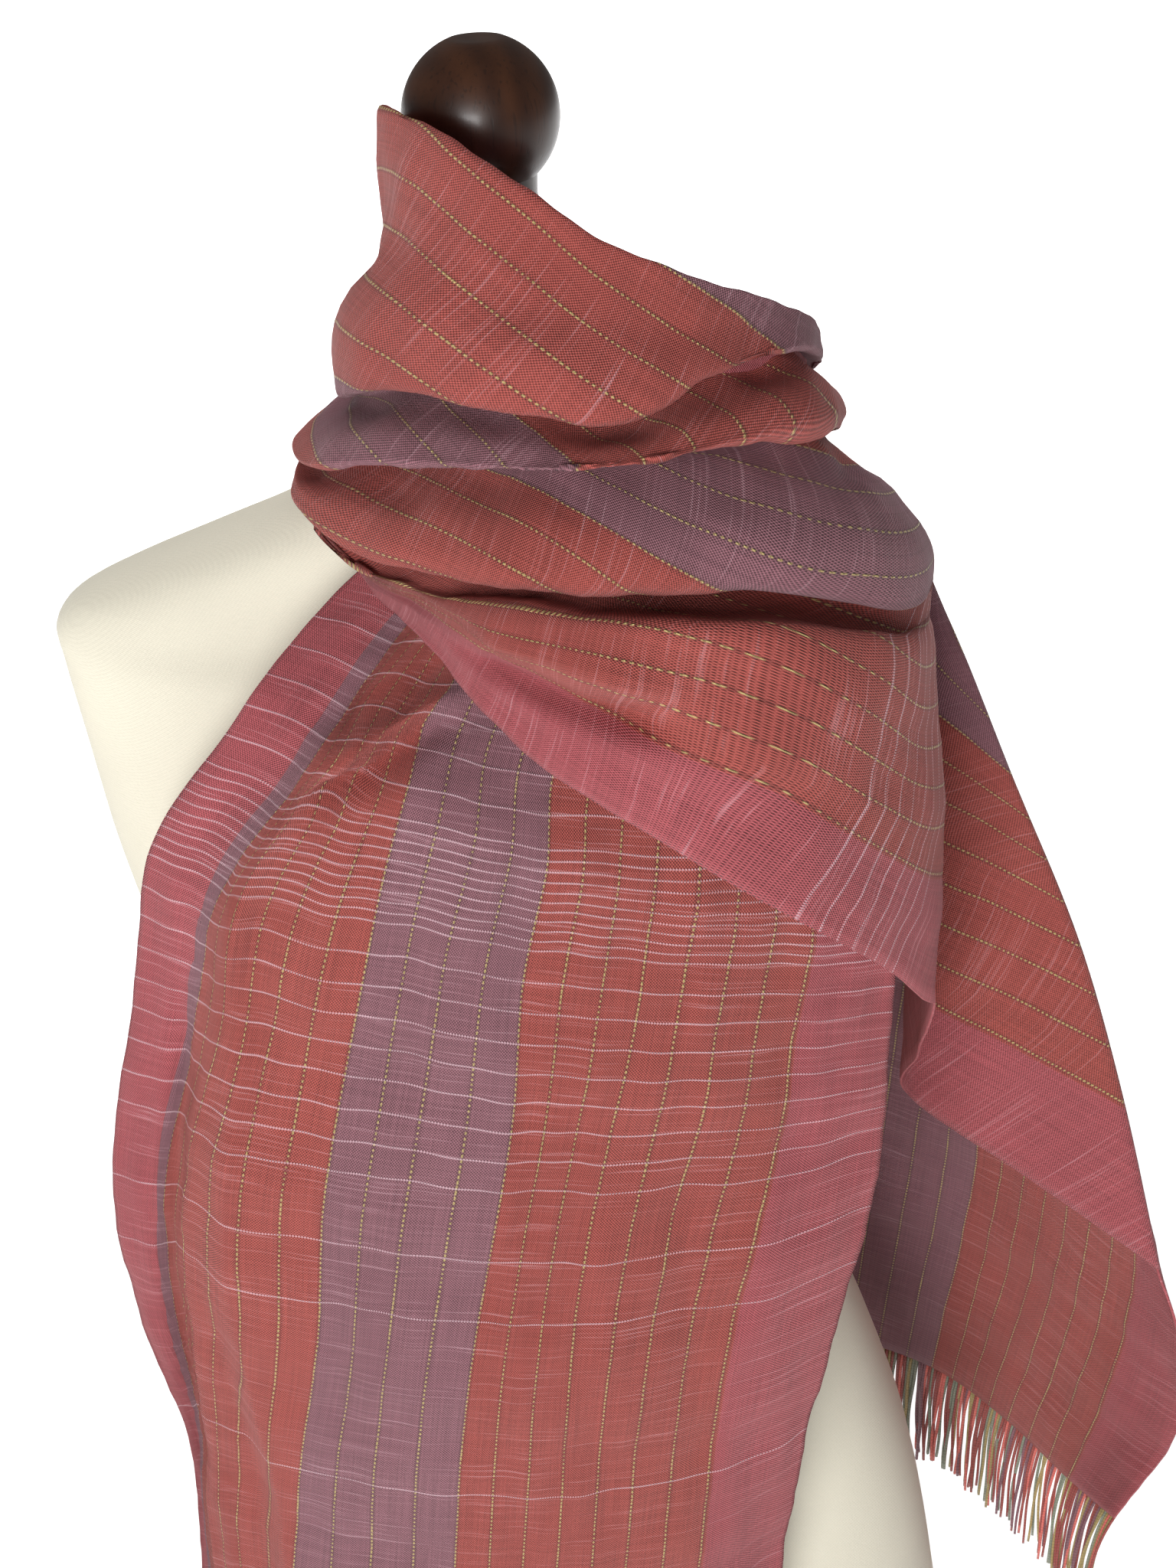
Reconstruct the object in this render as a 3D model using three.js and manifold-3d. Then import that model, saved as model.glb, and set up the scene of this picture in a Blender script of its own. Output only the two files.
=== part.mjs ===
// A fringed silk scarf, wound once round the neck of a limbless dress form on a counter stand.
// Millimetres, +Z up. The origin is the middle of the base's underside, and the form faces -Y, with its
// left arm side towards +X. The scarf is one length of cloth, built as the five stretches that show: the
// front tail climbs to the left side of the neck, the nape stretch passes behind the neck, the wrap crosses
// the front and falls over the left shoulder, the rear panel flares out from the arm side to a folded edge,
// and the rear tail hangs from that fold behind the form.
import * as THREE from "three";
import { mergeVertices } from "three/addons/utils/BufferGeometryUtils.js";
import Module from "manifold-3d";

const wasm = await Module();
wasm.setup();

// Driving dimensions.
const CLOTH = { width: 400, wall: 1.6, seamGap: 0.4, endGap: 0.9 };
const FRINGE = { strands: 42, length: 88, gap: 0.9, strip: 4, wall: 2.4, radius: 1.4, sway: 0.9, bends: 2 };
const SEAT = 0.3;
const BASE = { radius: 150, edge: 12, height: 22 };
const POLE_RADIUS = 12.5;
const NECK_CAP = { radius: 45, height: 19.4, edge: 6 };
const FINIAL = { ball: 31, ballZ: 998, facet: 11, cove: 21, coveZ: 966, foot: 33, footHeight: 16 };

// The turn round the neck, in upright sections. `turn` counts degrees from the front towards the left arm,
// round the wrap's own axis. The collar, the second roll and the third roll end in lips 1, 2 and 3: each
// has its reach from the axis (R), its height (Z) and the depth to which the cloth is tucked in under it.
// `pinch` is how far the collar draws in halfway down.
// Below the third lip the lower panel starts (panel) and runs down to the lower selvedge (hem).
const WRAP_AXIS = { x: 30, y: -10 };
const TURN = [
  { turn: -262, pinch: 0, rimR: 50, rimZ: 893, lip1R: 53, lip1Z: 884, tuck1: 0, lip2R: 56, lip2Z: 872,
    tuck2: 0, lip3R: 60, lip3Z: 858, tuck3: 0, panelR: 61, panelZ: 852, hemR: 62, hemZ: 838.8 },
  { turn: -235, pinch: 0, rimR: 62, rimZ: 897, lip1R: 65, lip1Z: 888, tuck1: 4, lip2R: 70, lip2Z: 872,
    tuck2: 4, lip3R: 75, lip3Z: 857, tuck3: 0, panelR: 77, panelZ: 852, hemR: 80, hemZ: 840 },
  { turn: -205, pinch: 0, rimR: 74, rimZ: 909, lip1R: 78, lip1Z: 896, tuck1: 8, lip2R: 86, lip2Z: 874,
    tuck2: 6, lip3R: 91, lip3Z: 854, tuck3: 0, panelR: 93, panelZ: 848, hemR: 96, hemZ: 834 },
  { turn: -175, pinch: 1, rimR: 78, rimZ: 934, lip1R: 84, lip1Z: 900, tuck1: 10, lip2R: 94, lip2Z: 876,
    tuck2: 8, lip3R: 98, lip3Z: 854, tuck3: 2, panelR: 99, panelZ: 848, hemR: 99, hemZ: 834 },
  { turn: -150, pinch: 3, rimR: 76, rimZ: 966, lip1R: 85, lip1Z: 900, tuck1: 8, lip2R: 97, lip2Z: 876,
    tuck2: 9, lip3R: 101, lip3Z: 856, tuck3: 3, panelR: 100, panelZ: 851, hemR: 97, hemZ: 843 },
  { turn: -120, pinch: 7, rimR: 71, rimZ: 988, lip1R: 90, lip1Z: 892, tuck1: 6, lip2R: 106, lip2Z: 874,
    tuck2: 10, lip3R: 108, lip3Z: 862, tuck3: 4, panelR: 106, panelZ: 860, hemR: 98, hemZ: 862 },
  { turn: -95, pinch: 10, rimR: 69, rimZ: 1002, lip1R: 96, lip1Z: 889, tuck1: 9, lip2R: 115, lip2Z: 868,
    tuck2: 12, lip3R: 112, lip3Z: 861, tuck3: 4, panelR: 109, panelZ: 861, hemR: 98, hemZ: 870 },
  { turn: -75, pinch: 9, rimR: 68, rimZ: 1009, lip1R: 95, lip1Z: 898, tuck1: 16, lip2R: 114, lip2Z: 871,
    tuck2: 15, lip3R: 117, lip3Z: 860, tuck3: 5, panelR: 114, panelZ: 857, hemR: 104, hemZ: 856 },
  { turn: -50, pinch: 4, rimR: 68, rimZ: 1010, lip1R: 92, lip1Z: 911, tuck1: 20, lip2R: 107, lip2Z: 885,
    tuck2: 20, lip3R: 116, lip3Z: 854, tuck3: 6, panelR: 115, panelZ: 849, hemR: 108, hemZ: 839 },
  { turn: -30, pinch: 1, rimR: 70, rimZ: 1002, lip1R: 93, lip1Z: 914, tuck1: 20, lip2R: 106, lip2Z: 893,
    tuck2: 20, lip3R: 120, lip3Z: 856, tuck3: 11, panelR: 122, panelZ: 850, hemR: 120, hemZ: 827 },
  { turn: -10, pinch: 0, rimR: 74, rimZ: 990, lip1R: 97, lip1Z: 913, tuck1: 20, lip2R: 109, lip2Z: 896,
    tuck2: 20, lip3R: 125, lip3Z: 856, tuck3: 18, panelR: 131, panelZ: 850, hemR: 132, hemZ: 791 },
  { turn: 10, pinch: 0, rimR: 81, rimZ: 973, lip1R: 102, lip1Z: 909, tuck1: 22, lip2R: 113, lip2Z: 898,
    tuck2: 20, lip3R: 129, lip3Z: 851, tuck3: 32, panelR: 138, panelZ: 845, hemR: 139, hemZ: 756 },
  { turn: 30, pinch: 0, rimR: 90, rimZ: 958, lip1R: 105, lip1Z: 920, tuck1: 24, lip2R: 116, lip2Z: 899,
    tuck2: 21, lip3R: 134, lip3Z: 846, tuck3: 30, panelR: 143, panelZ: 838, hemR: 147, hemZ: 713 },
  { turn: 50, pinch: 0, rimR: 97, rimZ: 943, lip1R: 106, lip1Z: 921, tuck1: 20, lip2R: 116, lip2Z: 894,
    tuck2: 20, lip3R: 139, lip3Z: 827, tuck3: 16, panelR: 146, panelZ: 818, hemR: 155, hemZ: 666 },
  { turn: 66, pinch: 0, rimR: 100, rimZ: 928, lip1R: 104, lip1Z: 914, tuck1: 12, lip2R: 113, lip2Z: 885,
    tuck2: 16, lip3R: 145, lip3Z: 811, tuck3: 5, panelR: 149, panelZ: 801, hemR: 161, hemZ: 622 },
  { turn: 88, pinch: 0, rimR: 99, rimZ: 905, lip1R: 101, lip1Z: 894, tuck1: 6, lip2R: 109, lip2Z: 866,
    tuck2: 8, lip3R: 148, lip3Z: 803, tuck3: 0, panelR: 148, panelZ: 794, hemR: 161, hemZ: 600 },
  { turn: 112, pinch: 0, rimR: 93, rimZ: 885, lip1R: 94, lip1Z: 876, tuck1: 3, lip2R: 104, lip2Z: 850,
    tuck2: 4, lip3R: 146, lip3Z: 796, tuck3: 0, panelR: 146, panelZ: 788, hemR: 160, hemZ: 590 },
];

// Where the wrap ends: over the shoulder for the rim, and at the arm side for the lower selvedge. `down`
// runs from 0 at the rim to 1 at the selvedge.
const WRAP_END = [
  { down: 0, turn: 110 },
  { down: 0.3, turn: 104 },
  { down: 0.6, turn: 95 },
  { down: 0.72, turn: 90 },
  { down: 0.86, turn: 76 },
  { down: 1, turn: 66 },
];
const LAYER = 2 * CLOTH.wall + CLOTH.seamGap;
const SEAM_TURN = { neck: -262, back: -150, gap: 0.8, slant: 4 };
const SHOULDER_DOWN = 18 / 27;

// The front tail, from the left side of the neck down to its end. Each row gives both edges, how far the
// middle bows forward, and the two long folds beside the upper selvedge: `ridge` stands up along the narrow
// stripe, and `step` sets the main panel in front of the border.
const FRONT_TAIL = [
  { leftX: 79, leftY: -5, leftZ: 892, rightX: 91, rightY: -3, rightZ: 840, bow: 0, ridge: 0, step: 0 },
  { leftX: 62, leftY: -42, leftZ: 889, rightX: 94, rightY: -48, rightZ: 836, bow: 2, ridge: 0, step: 0
    },
  { leftX: 25, leftY: -66, leftZ: 872, rightX: 106, rightY: -70, rightZ: 816, bow: 8, ridge: 1, step: 0
    },
  { leftX: -15, leftY: -68, leftZ: 861, rightX: 122, rightY: -88, rightZ: 774, bow: 14, ridge: 2, step:
    0 },
  { leftX: -53, leftY: -70, leftZ: 843, rightX: 138, rightY: -95, rightZ: 732, bow: 20, ridge: 4, step:
    0 },
  { leftX: -82, leftY: -88, leftZ: 821, rightX: 150, rightY: -95, rightZ: 698, bow: 26, ridge: 6, step:
    0 },
  { leftX: -110, leftY: -104, leftZ: 791, rightX: 156, rightY: -95, rightZ: 662, bow: 31, ridge: 8,
    step: 0 },
  { leftX: -149, leftY: -101, leftZ: 736, rightX: 154, rightY: -101, rightZ: 622, bow: 36, ridge: 9,
    step: 0 },
  { leftX: -167, leftY: -97, leftZ: 662, rightX: 152, rightY: -106, rightZ: 583, bow: 38, ridge: 6,
    step: 4 },
  { leftX: -187, leftY: -100, leftZ: 583, rightX: 146, rightY: -110, rightZ: 545, bow: 38, ridge: 2,
    step: 10 },
  { leftX: -190, leftY: -101, leftZ: 508, rightX: 131, rightY: -119, rightZ: 485, bow: 36, ridge: 0,
    step: 14 },
  { leftX: -176, leftY: -105, leftZ: 415, rightX: 113, rightY: -124, rightZ: 405, bow: 34, ridge: 0,
    step: 15 },
  { leftX: -178, leftY: -108, leftZ: 330, rightX: 104, rightY: -128, rightZ: 330, bow: 33, ridge: 0,
    step: 15 },
  { leftX: -180, leftY: -110, leftZ: 250, rightX: 100, rightY: -130, rightZ: 256, bow: 33, ridge: 0,
    step: 14 },
  { leftX: -182, leftY: -111, leftZ: 188, rightX: 98, rightY: -131, rightZ: 200, bow: 33, ridge: 0,
    step: 13 },
];
const STRIPE_AT = 0.11;
const RIM_DOWN = 2 / 27;

// The rear panel: `across` is the distance from the upper selvedge. The valley is where the cloth turns out
// from the arm side, and the fold is the flared edge where it doubles back.
const REAR_PANEL = [
  { across: 130, valleyX: 176.7, valleyY: -1.5, valleyZ: 812.4, foldX: 177.2, foldY: 1, foldZ: 811.3 },
  { across: 160, valleyX: 179, valleyY: 10, valleyZ: 801, foldX: 181, foldY: 18, foldZ: 794 },
  { across: 195, valleyX: 180, valleyY: 22, valleyZ: 768, foldX: 203, foldY: 20, foldZ: 739 },
  { across: 230, valleyX: 183, valleyY: 24, valleyZ: 722, foldX: 224, foldY: 17, foldZ: 684 },
  { across: 300, valleyX: 184, valleyY: 22, valleyZ: 632, foldX: 260, foldY: 8, foldZ: 592 },
  { across: 352, valleyX: 183, valleyY: 18, valleyZ: 566, foldX: 284, foldY: -5, foldZ: 508 },
  { across: 400, valleyX: 182, valleyY: 14, valleyZ: 503, foldX: 305, foldY: -24, foldZ: 415 },
];

// The rear tail, from the shoulder or the fold, over the back, down to the hem.
const REAR_TAIL = [
  { across: 0, backX: 84, backY: 92, backZ: 775, seatX: 36, seatY: 142, seatZ: 480, hemX: 0, hemY: 166,
    hemZ: 228 },
  { across: 60, backX: 108, backY: 92, backZ: 768, seatX: 82, seatY: 144, seatZ: 470, hemX: 60, hemY:
    169, hemZ: 220 },
  { across: 110, backX: 138, backY: 86, backZ: 752, seatX: 126, seatY: 140, seatZ: 455, hemX: 110, hemY:
    167, hemZ: 211 },
  { across: 160, backX: 186, backY: 66, backZ: 700, seatX: 176, seatY: 128, seatZ: 435, hemX: 160, hemY:
    164, hemZ: 201 },
  { across: 230, backX: 234, backY: 58, backZ: 585, seatX: 236, seatY: 104, seatZ: 380, hemX: 224, hemY:
    148, hemZ: 184 },
  { across: 300, backX: 272, backY: 34, backZ: 500, seatX: 278, seatY: 66, seatZ: 340, hemX: 264, hemY:
    106, hemZ: 179 },
  { across: 352, backX: 300, backY: 10, backZ: 430, seatX: 307, seatY: 30, seatZ: 320, hemX: 290, hemY:
    56, hemZ: 182 },
  { across: 400, backX: 322, backY: -18, backZ: 362, seatX: 331, seatY: -8, seatZ: 288, hemX: 303, hemY:
    4, hemZ: 206 },
];

// The dress form in level sections: half width, depth to the front and to the back, and sideways shift.
const FORM = [
  { z: 160, half: 205, front: 116, back: 134, shift: 0 },
  { z: 235, half: 195, front: 116, back: 136, shift: 0 },
  { z: 300, half: 183, front: 110, back: 128, shift: 0 },
  { z: 365, half: 165, front: 102, back: 110, shift: -1 },
  { z: 420, half: 147, front: 96, back: 97, shift: -2 },
  { z: 465, half: 134, front: 94, back: 90, shift: -3 },
  { z: 520, half: 138, front: 106, back: 90, shift: -5 },
  { z: 575, half: 149, front: 124, back: 94, shift: -6 },
  { z: 615, half: 157, front: 132, back: 97, shift: -7 },
  { z: 665, half: 166, front: 122, back: 98, shift: -9 },
  { z: 705, half: 174, front: 102, back: 95, shift: -10 },
  { z: 745, half: 179, front: 82, back: 88, shift: -11 },
  { z: 780, half: 183, front: 64, back: 76, shift: -12 },
  { z: 794, half: 184, front: 53, back: 58, shift: -12 },
  { z: 806, half: 174, front: 47, back: 50, shift: -12 },
  { z: 817, half: 151, front: 44, back: 46, shift: -12 },
  { z: 829, half: 120, front: 43, back: 45, shift: -10 },
  { z: 841, half: 90, front: 43, back: 45, shift: -6 },
  { z: 854, half: 66, front: 44, back: 46, shift: -3 },
  { z: 876, half: 51, front: 45, back: 46, shift: 0 },
  { z: 905, half: 45, front: 44, back: 45, shift: 0 },
];

const FORM_BOTTOM = FORM[0].z;
const FORM_TOP = FORM.at(-1).z;
const FORM_HEIGHTS = [...FORM.map((row) => row.z), 180, 195, 215, 760].sort((a, b) => a - b);

const MATERIALS = {
  silk: new THREE.MeshStandardMaterial({ color: 0x9c3a3c, roughness: 0.72, metalness: 0 }),
  fringe: new THREE.MeshStandardMaterial({ color: 0xa8584a, roughness: 0.8, metalness: 0 }),
  jersey: new THREE.MeshStandardMaterial({ color: 0xe3dccb, roughness: 0.9, metalness: 0 }),
  wood: new THREE.MeshStandardMaterial({ color: 0x3c160c, roughness: 0.25, metalness: 0 }),
};

const DOWN = new THREE.Vector3(0, 0, -1);
const lerp = THREE.MathUtils.lerp;
const smooth = (value, low, high) => THREE.MathUtils.smoothstep(value, low, high);

// The value of one named column at `at`, on a smooth curve through the rows, which `key` puts in order.
function column(rows, key, at, name) {
  let i = 0;
  while (i < rows.length - 2 && at > rows[i + 1][key]) i += 1;
  const [a, b] = [rows[i], rows[i + 1]];
  const [before, after] = [rows[Math.max(i - 1, 0)], rows[Math.min(i + 2, rows.length - 1)]];
  const span = b[key] - a[key];
  const slopeA = (b[name] - before[name]) / (b[key] - before[key]);
  const slopeB = (after[name] - a[name]) / (after[key] - a[key]);
  const s = THREE.MathUtils.clamp((at - a[key]) / span, 0, 1);
  const rise = (b[name] - a[name]);
  return a[name] + slopeA * span * s + (3 * rise - (2 * slopeA + slopeB) * span) * s * s
    + ((slopeA + slopeB) * span - 2 * rise) * s * s * s;
}

// The profile of one section of the turn: [reach, height] pairs from inside the rim down to the selvedge.
function section(turn) {
  const at = (name) => column(TURN, "turn", turn, name);
  const points = [];
  const rim = [at("rimR"), at("rimZ")];
  points.push([rim[0] - 4.5, rim[1] - 11], [rim[0] - 3.4, rim[1] - 2.5], rim);
  let top = rim;
  for (const [down, share] of [[0.14, 0.25], [0.3, 0.75], [0.46, 1]]) {
    const reach = lerp(rim[0], at("lip1R"), down) - share * at("pinch");
    points.push([reach, lerp(rim[1], at("lip1Z"), down)]);
  }
  for (const n of [1, 2, 3]) {
    const lip = [at(`lip${n}R`), at(`lip${n}Z`)];
    const tuck = Math.max(at(`tuck${n}`), 0);
    const fall = top[1] - lip[1];
    const belly = n === 1 ? 0.02 * fall : 0.1 * fall;
    if (n > 1) points.push([lerp(top[0], lip[0], 0.4) + belly, lerp(top[1], lip[1], 0.35)]);
    points.push([lerp(top[0], lip[0], 0.8) + belly, lerp(top[1], lip[1], 0.72)]);
    points.push([lip[0], lip[1] + Math.min(0.16 * fall, 4)]);
    points.push([lip[0] - 0.16 * tuck, lip[1]]);
    points.push([lip[0] - tuck, lip[1] + 0.12 * tuck - 0.6]);
    top = n === 3 ? [at("panelR"), at("panelZ")] : [lip[0] - 0.12 * tuck, lip[1] - 0.12 * tuck - 2.4];
    points.push([lerp(lip[0] - tuck, top[0], 0.55), lerp(lip[1], top[1], 0.9) - 0.05 * tuck]);
  }
  const hem = [at("hemR"), at("hemZ")];
  points.push(top);
  for (const f of [0.25, 0.5, 0.75]) {
    points.push([lerp(top[0], hem[0], f) + 0.05 * (top[1] - hem[1]) * f * (1 - f), lerp(top[1], hem[1], f)]);
  }
  points.push(hem);
  return points;
}

// A point of the turn at `down` of its section, 0 at the rim's tuck and 1 at the selvedge.
function turnPoint(turn, down) {
  const points = section(turn);
  const place = down * (points.length - 1);
  const i = Math.min(Math.floor(place), points.length - 2);
  const [reach, height] = [0, 1].map((axis) => lerp(points[i][axis], points[i + 1][axis], place - i));
  const angle = THREE.MathUtils.degToRad(turn);
  const [sin, cos] = [Math.sin(angle), Math.cos(angle)];
  return new THREE.Vector3(WRAP_AXIS.x + reach * sin, WRAP_AXIS.y - reach * cos, height);
}

const wrapEnd = (down) => turnPoint(column(WRAP_END, "down", down, "turn"), down);

// A smooth curve through control points, evened out by distance.
const curve = (points) => new THREE.CatmullRomCurve3(points, false, "centripetal");

function frontTailPoint(along, across) {
  const rows = FRONT_TAIL.map((row, i) => ({ ...row, i }));
  const at = (name) => column(rows, "i", along * (rows.length - 1), name);
  const left = new THREE.Vector3(at("leftX"), at("leftY"), at("leftZ"));
  const right = new THREE.Vector3(at("rightX"), at("rightY"), at("rightZ"));
  const point = left.lerp(right, across);
  const seam = turnPoint(SEAM_TURN.neck, lerp(RIM_DOWN, 1, across));
  point.lerp(seam, 1 - smooth(along * (rows.length - 1), 0, 1));
  const ridge = Math.exp(-(((across - STRIPE_AT) / 0.035) ** 2));
  const step = smooth(across, STRIPE_AT, STRIPE_AT + 0.05);
  const edge = smooth(across, 0.85, 1);
  const bow = at("bow") * 4 * across * (1 - across);
  point.y -= bow + at("ridge") * ridge + at("step") * step * (1 - edge);
  return point;
}

const panelAt = (across, name) => column(REAR_PANEL, "across", across, name);
const SHOULDER_ACROSS = REAR_PANEL[0].across;

function foldPoint(across) {
  return new THREE.Vector3(panelAt(across, "foldX"), panelAt(across, "foldY"), panelAt(across, "foldZ"));
}

function rearPanelCurve(across) {
  const ridge = ridgeAt(across);
  const valley = new THREE.Vector3(...["X", "Y", "Z"].map((axis) => panelAt(across, `valley${axis}`)));
  const fold = foldPoint(across);
  const middle = ridge.clone().lerp(valley, 0.5);
  const flare = valley.clone().lerp(fold, 0.5);
  return curve([ridge, middle, valley, flare, fold]);
}

const downAt = (across) => (across < SHOULDER_ACROSS
  ? SHOULDER_DOWN * across / SHOULDER_ACROSS
  : lerp(SHOULDER_DOWN, 1, (across - SHOULDER_ACROSS) / (CLOTH.width - SHOULDER_ACROSS)));
const acrossAt = (down) => (down < SHOULDER_DOWN
  ? SHOULDER_ACROSS * down / SHOULDER_DOWN
  : lerp(SHOULDER_ACROSS, CLOTH.width, (down - SHOULDER_DOWN) / (1 - SHOULDER_DOWN)));
const ridgeAt = (across) => wrapEnd(downAt(across));

// The rear tail starts at the wrap's end over the shoulder, and below that just behind the panel's fold.
function tailStart(across) {
  const start = across < SHOULDER_ACROSS ? ridgeAt(across) : foldPoint(across);
  const behind = new THREE.Vector3(-1, 0.2, 0);
  behind.lerp(new THREE.Vector3(0, 1, 0), smooth(across, SHOULDER_ACROSS, SHOULDER_ACROSS + 65)).normalize();
  return start.addScaledVector(behind, LAYER * smooth(across, SHOULDER_ACROSS - 15, SHOULDER_ACROSS));
}

function rearTailCurve(across) {
  const at = (name) => column(REAR_TAIL, "across", across, name);
  const points = ["back", "seat", "hem"].map((n) => new THREE.Vector3(at(`${n}X`), at(`${n}Y`), at(`${n}Z`)));
  return curve([tailStart(across), ...points]);
}

// A wall of cloth: a grid of points on its face, and the same grid moved in by the wall. `side` is 1 where
// the face looks along rows x columns, and -1 where it looks the other way. `before` and `after` are rows of
// the neighbouring stretches, so that both walls meet at a seam with the same slant.
function wallGeometry(grid, side, before = grid[0], after = grid.at(-1)) {
  const [rows, columns] = [grid.length, grid[0].length];
  const outer = grid.flat();
  const inner = [];
  for (let i = 0; i < rows; i += 1) {
    for (let j = 0; j < columns; j += 1) {
      const alongI = (grid[i + 1] ?? after)[j].clone().sub((grid[i - 1] ?? before)[j]);
      const alongJ = grid[i][Math.min(j + 1, columns - 1)].clone().sub(grid[i][Math.max(j - 1, 0)]);
      const normal = alongI.cross(alongJ).normalize();
      inner.push(grid[i][j].clone().addScaledVector(normal, -side * CLOTH.wall));
    }
  }
  const points = [...outer, ...inner];
  const shift = outer.length;
  const faces = [];
  const quad = (a, b, c, d) => faces.push(...(side > 0 ? [a, b, c, a, c, d] : [a, c, b, a, d, c]));
  const at = (i, j) => i * columns + j;
  for (let i = 0; i < rows - 1; i += 1) {
    for (let j = 0; j < columns - 1; j += 1) {
      quad(at(i, j), at(i + 1, j), at(i + 1, j + 1), at(i, j + 1));
      quad(shift + at(i, j), shift + at(i, j + 1), shift + at(i + 1, j + 1), shift + at(i + 1, j));
    }
  }
  for (let i = 0; i < rows - 1; i += 1) {
    quad(at(i, 0), shift + at(i, 0), shift + at(i + 1, 0), at(i + 1, 0));
    const [top, bottom] = [at(i, columns - 1), at(i + 1, columns - 1)];
    quad(bottom, shift + bottom, shift + top, top);
  }
  for (let j = 0; j < columns - 1; j += 1) {
    quad(at(0, j + 1), shift + at(0, j + 1), shift + at(0, j), at(0, j));
    quad(at(rows - 1, j), shift + at(rows - 1, j), shift + at(rows - 1, j + 1), at(rows - 1, j + 1));
  }
  return indexed(points, faces);
}

function indexed(points, faces) {
  const geometry = new THREE.BufferGeometry();
  geometry.setAttribute("position", new THREE.Float32BufferAttribute(points.flatMap((p) => p.toArray()), 3));
  geometry.setIndex(faces);
  return geometry;
}

const steps = (from, to, count) => Array.from({ length: count + 1 }, (_, i) => lerp(from, to, i / count));

const DOWNS = steps(0, 1, section(0).length - 1);
const ACROSSES = DOWNS.map(acrossAt);
const ROWS = { frontTail: 22, nape: 10, wrap: 28, panel: 9, rearTail: 10 };
const FRONT_TAIL_START = 0.009;
const FRONT_TAIL_STEP = 1 / ROWS.frontTail;
const NAPE_STEP = (SEAM_TURN.back - SEAM_TURN.neck) / ROWS.nape;

function nape() {
  const row = (turn) => DOWNS.map((down) => turnPoint(turn, down));
  const before = DOWNS.map((down) => {
    if (down < RIM_DOWN) return turnPoint(SEAM_TURN.neck - NAPE_STEP, down);
    return frontTailPoint(FRONT_TAIL_STEP, (down - RIM_DOWN) / (1 - RIM_DOWN));
  });
  const turns = steps(SEAM_TURN.neck + SEAM_TURN.gap, SEAM_TURN.back - SEAM_TURN.gap, ROWS.nape);
  return named("nape", wallGeometry(turns.map(row), -1, before, row(SEAM_TURN.back + NAPE_STEP)), "silk");
}

function frontWrap() {
  const row = (w) => DOWNS.map((down) => {
    return turnPoint(lerp(SEAM_TURN.back, column(WRAP_END, "down", down, "turn"), w), down);
  });
  const after = ACROSSES.map((across) => {
    if (across > SHOULDER_ACROSS) return rearPanelCurve(across).getPointAt(0.05);
    return rearTailCurve(across).getPointAt(0.02);
  });
  const before = DOWNS.map((down) => turnPoint(SEAM_TURN.back - NAPE_STEP, down));
  return named("front_wrap", wallGeometry(steps(0, 1, ROWS.wrap).map(row), -1, before, after), "silk");
}

// A stretch that starts at the wrap's end and runs along curves, its first row a seam's gap clear, with the
// rows closer together near the seam.
function stretchFromWrap(acrosses, curveAt, rows) {
  const lines = acrosses.map(curveAt);
  const startOf = (line) => CLOTH.endGap / line.getLength();
  const rowAt = (f) => lines.map((line) => line.getPointAt(lerp(startOf(line), 1, f ** 1.5)));
  const before = acrosses.map((across) => {
    const down = downAt(across);
    return turnPoint(column(WRAP_END, "down", down, "turn") - SEAM_TURN.slant, down);
  });
  return { grid: steps(0, 1, rows).map(rowAt), before };
}

function named(name, geometry, material) {
  const mesh = new THREE.Mesh(geometry, MATERIALS[material]);
  mesh.name = name;
  return mesh;
}

function frontTailGrid() {
  const acrossStops = [0, 0.04, 0.08, 0.11, 0.14, 0.18, 0.25, 0.35, 0.46, 0.58, 0.7, 0.8, 0.88, 0.94, 1];
  return {
    grid: steps(FRONT_TAIL_START, 1, ROWS.frontTail).map((along) => {
      return acrossStops.map((across) => frontTailPoint(along, across));
    }),
    before: acrossStops.map((across) => turnPoint(SEAM_TURN.neck + NAPE_STEP, lerp(RIM_DOWN, 1, across))),
  };
}

function frontTail() {
  const { grid, before } = frontTailGrid();
  return named("front_tail", wallGeometry(grid, 1, before), "silk");
}

function form() {
  const sides = 26;
  const turns = steps(0, 1 - 1 / sides, sides - 1);
  const points = FORM_HEIGHTS.flatMap((z) => turns.map((turn) => formPoint(z, turn)));
  const faces = [];
  for (let i = 0; i < FORM_HEIGHTS.length - 1; i += 1) {
    for (let j = 0; j < sides; j += 1) {
      const [a, b] = [i * sides + j, i * sides + (j + 1) % sides];
      faces.push(a, b, b + sides, a, b + sides, a + sides);
    }
  }
  const last = points.length;
  points.push(new THREE.Vector3(0, 0, FORM_BOTTOM), new THREE.Vector3(0, 0, FORM_TOP));
  for (let j = 0; j < sides; j += 1) {
    const next = (j + 1) % sides;
    faces.push(last, next, j, last + 1, last - sides + j, last - sides + next);
  }
  return named("form", indexed(points, faces), "jersey");
}

// A point of the form's skin: the section at a height is an oval, flatter at the back than at the front.
function formPoint(z, turn) {
  const at = (name) => column(FORM, "z", z, name);
  const angle = turn * 2 * Math.PI;
  const [cos, sin] = [Math.cos(angle), Math.sin(angle)];
  const square = 0.88;
  const depth = sin < 0 ? at("front") : at("back");
  return new THREE.Vector3(at("shift") + at("half") * Math.sign(cos) * Math.abs(cos) ** square,
    depth * Math.sign(sin) * Math.abs(sin) ** square, z);
}

function lathe(name, profile, segments, material) {
  const geometry = new THREE.LatheGeometry(profile.map(([r, z]) => new THREE.Vector2(r, z)), segments);
  geometry.rotateX(Math.PI / 2);
  return named(name, geometry, material);
}

function rearPanel() {
  const acrosses = ACROSSES.filter((across) => across >= SHOULDER_ACROSS);
  const { grid, before } = stretchFromWrap(acrosses, rearPanelCurve, ROWS.panel);
  return named("rear_panel", wallGeometry(grid, -1, before), "silk");
}

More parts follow.
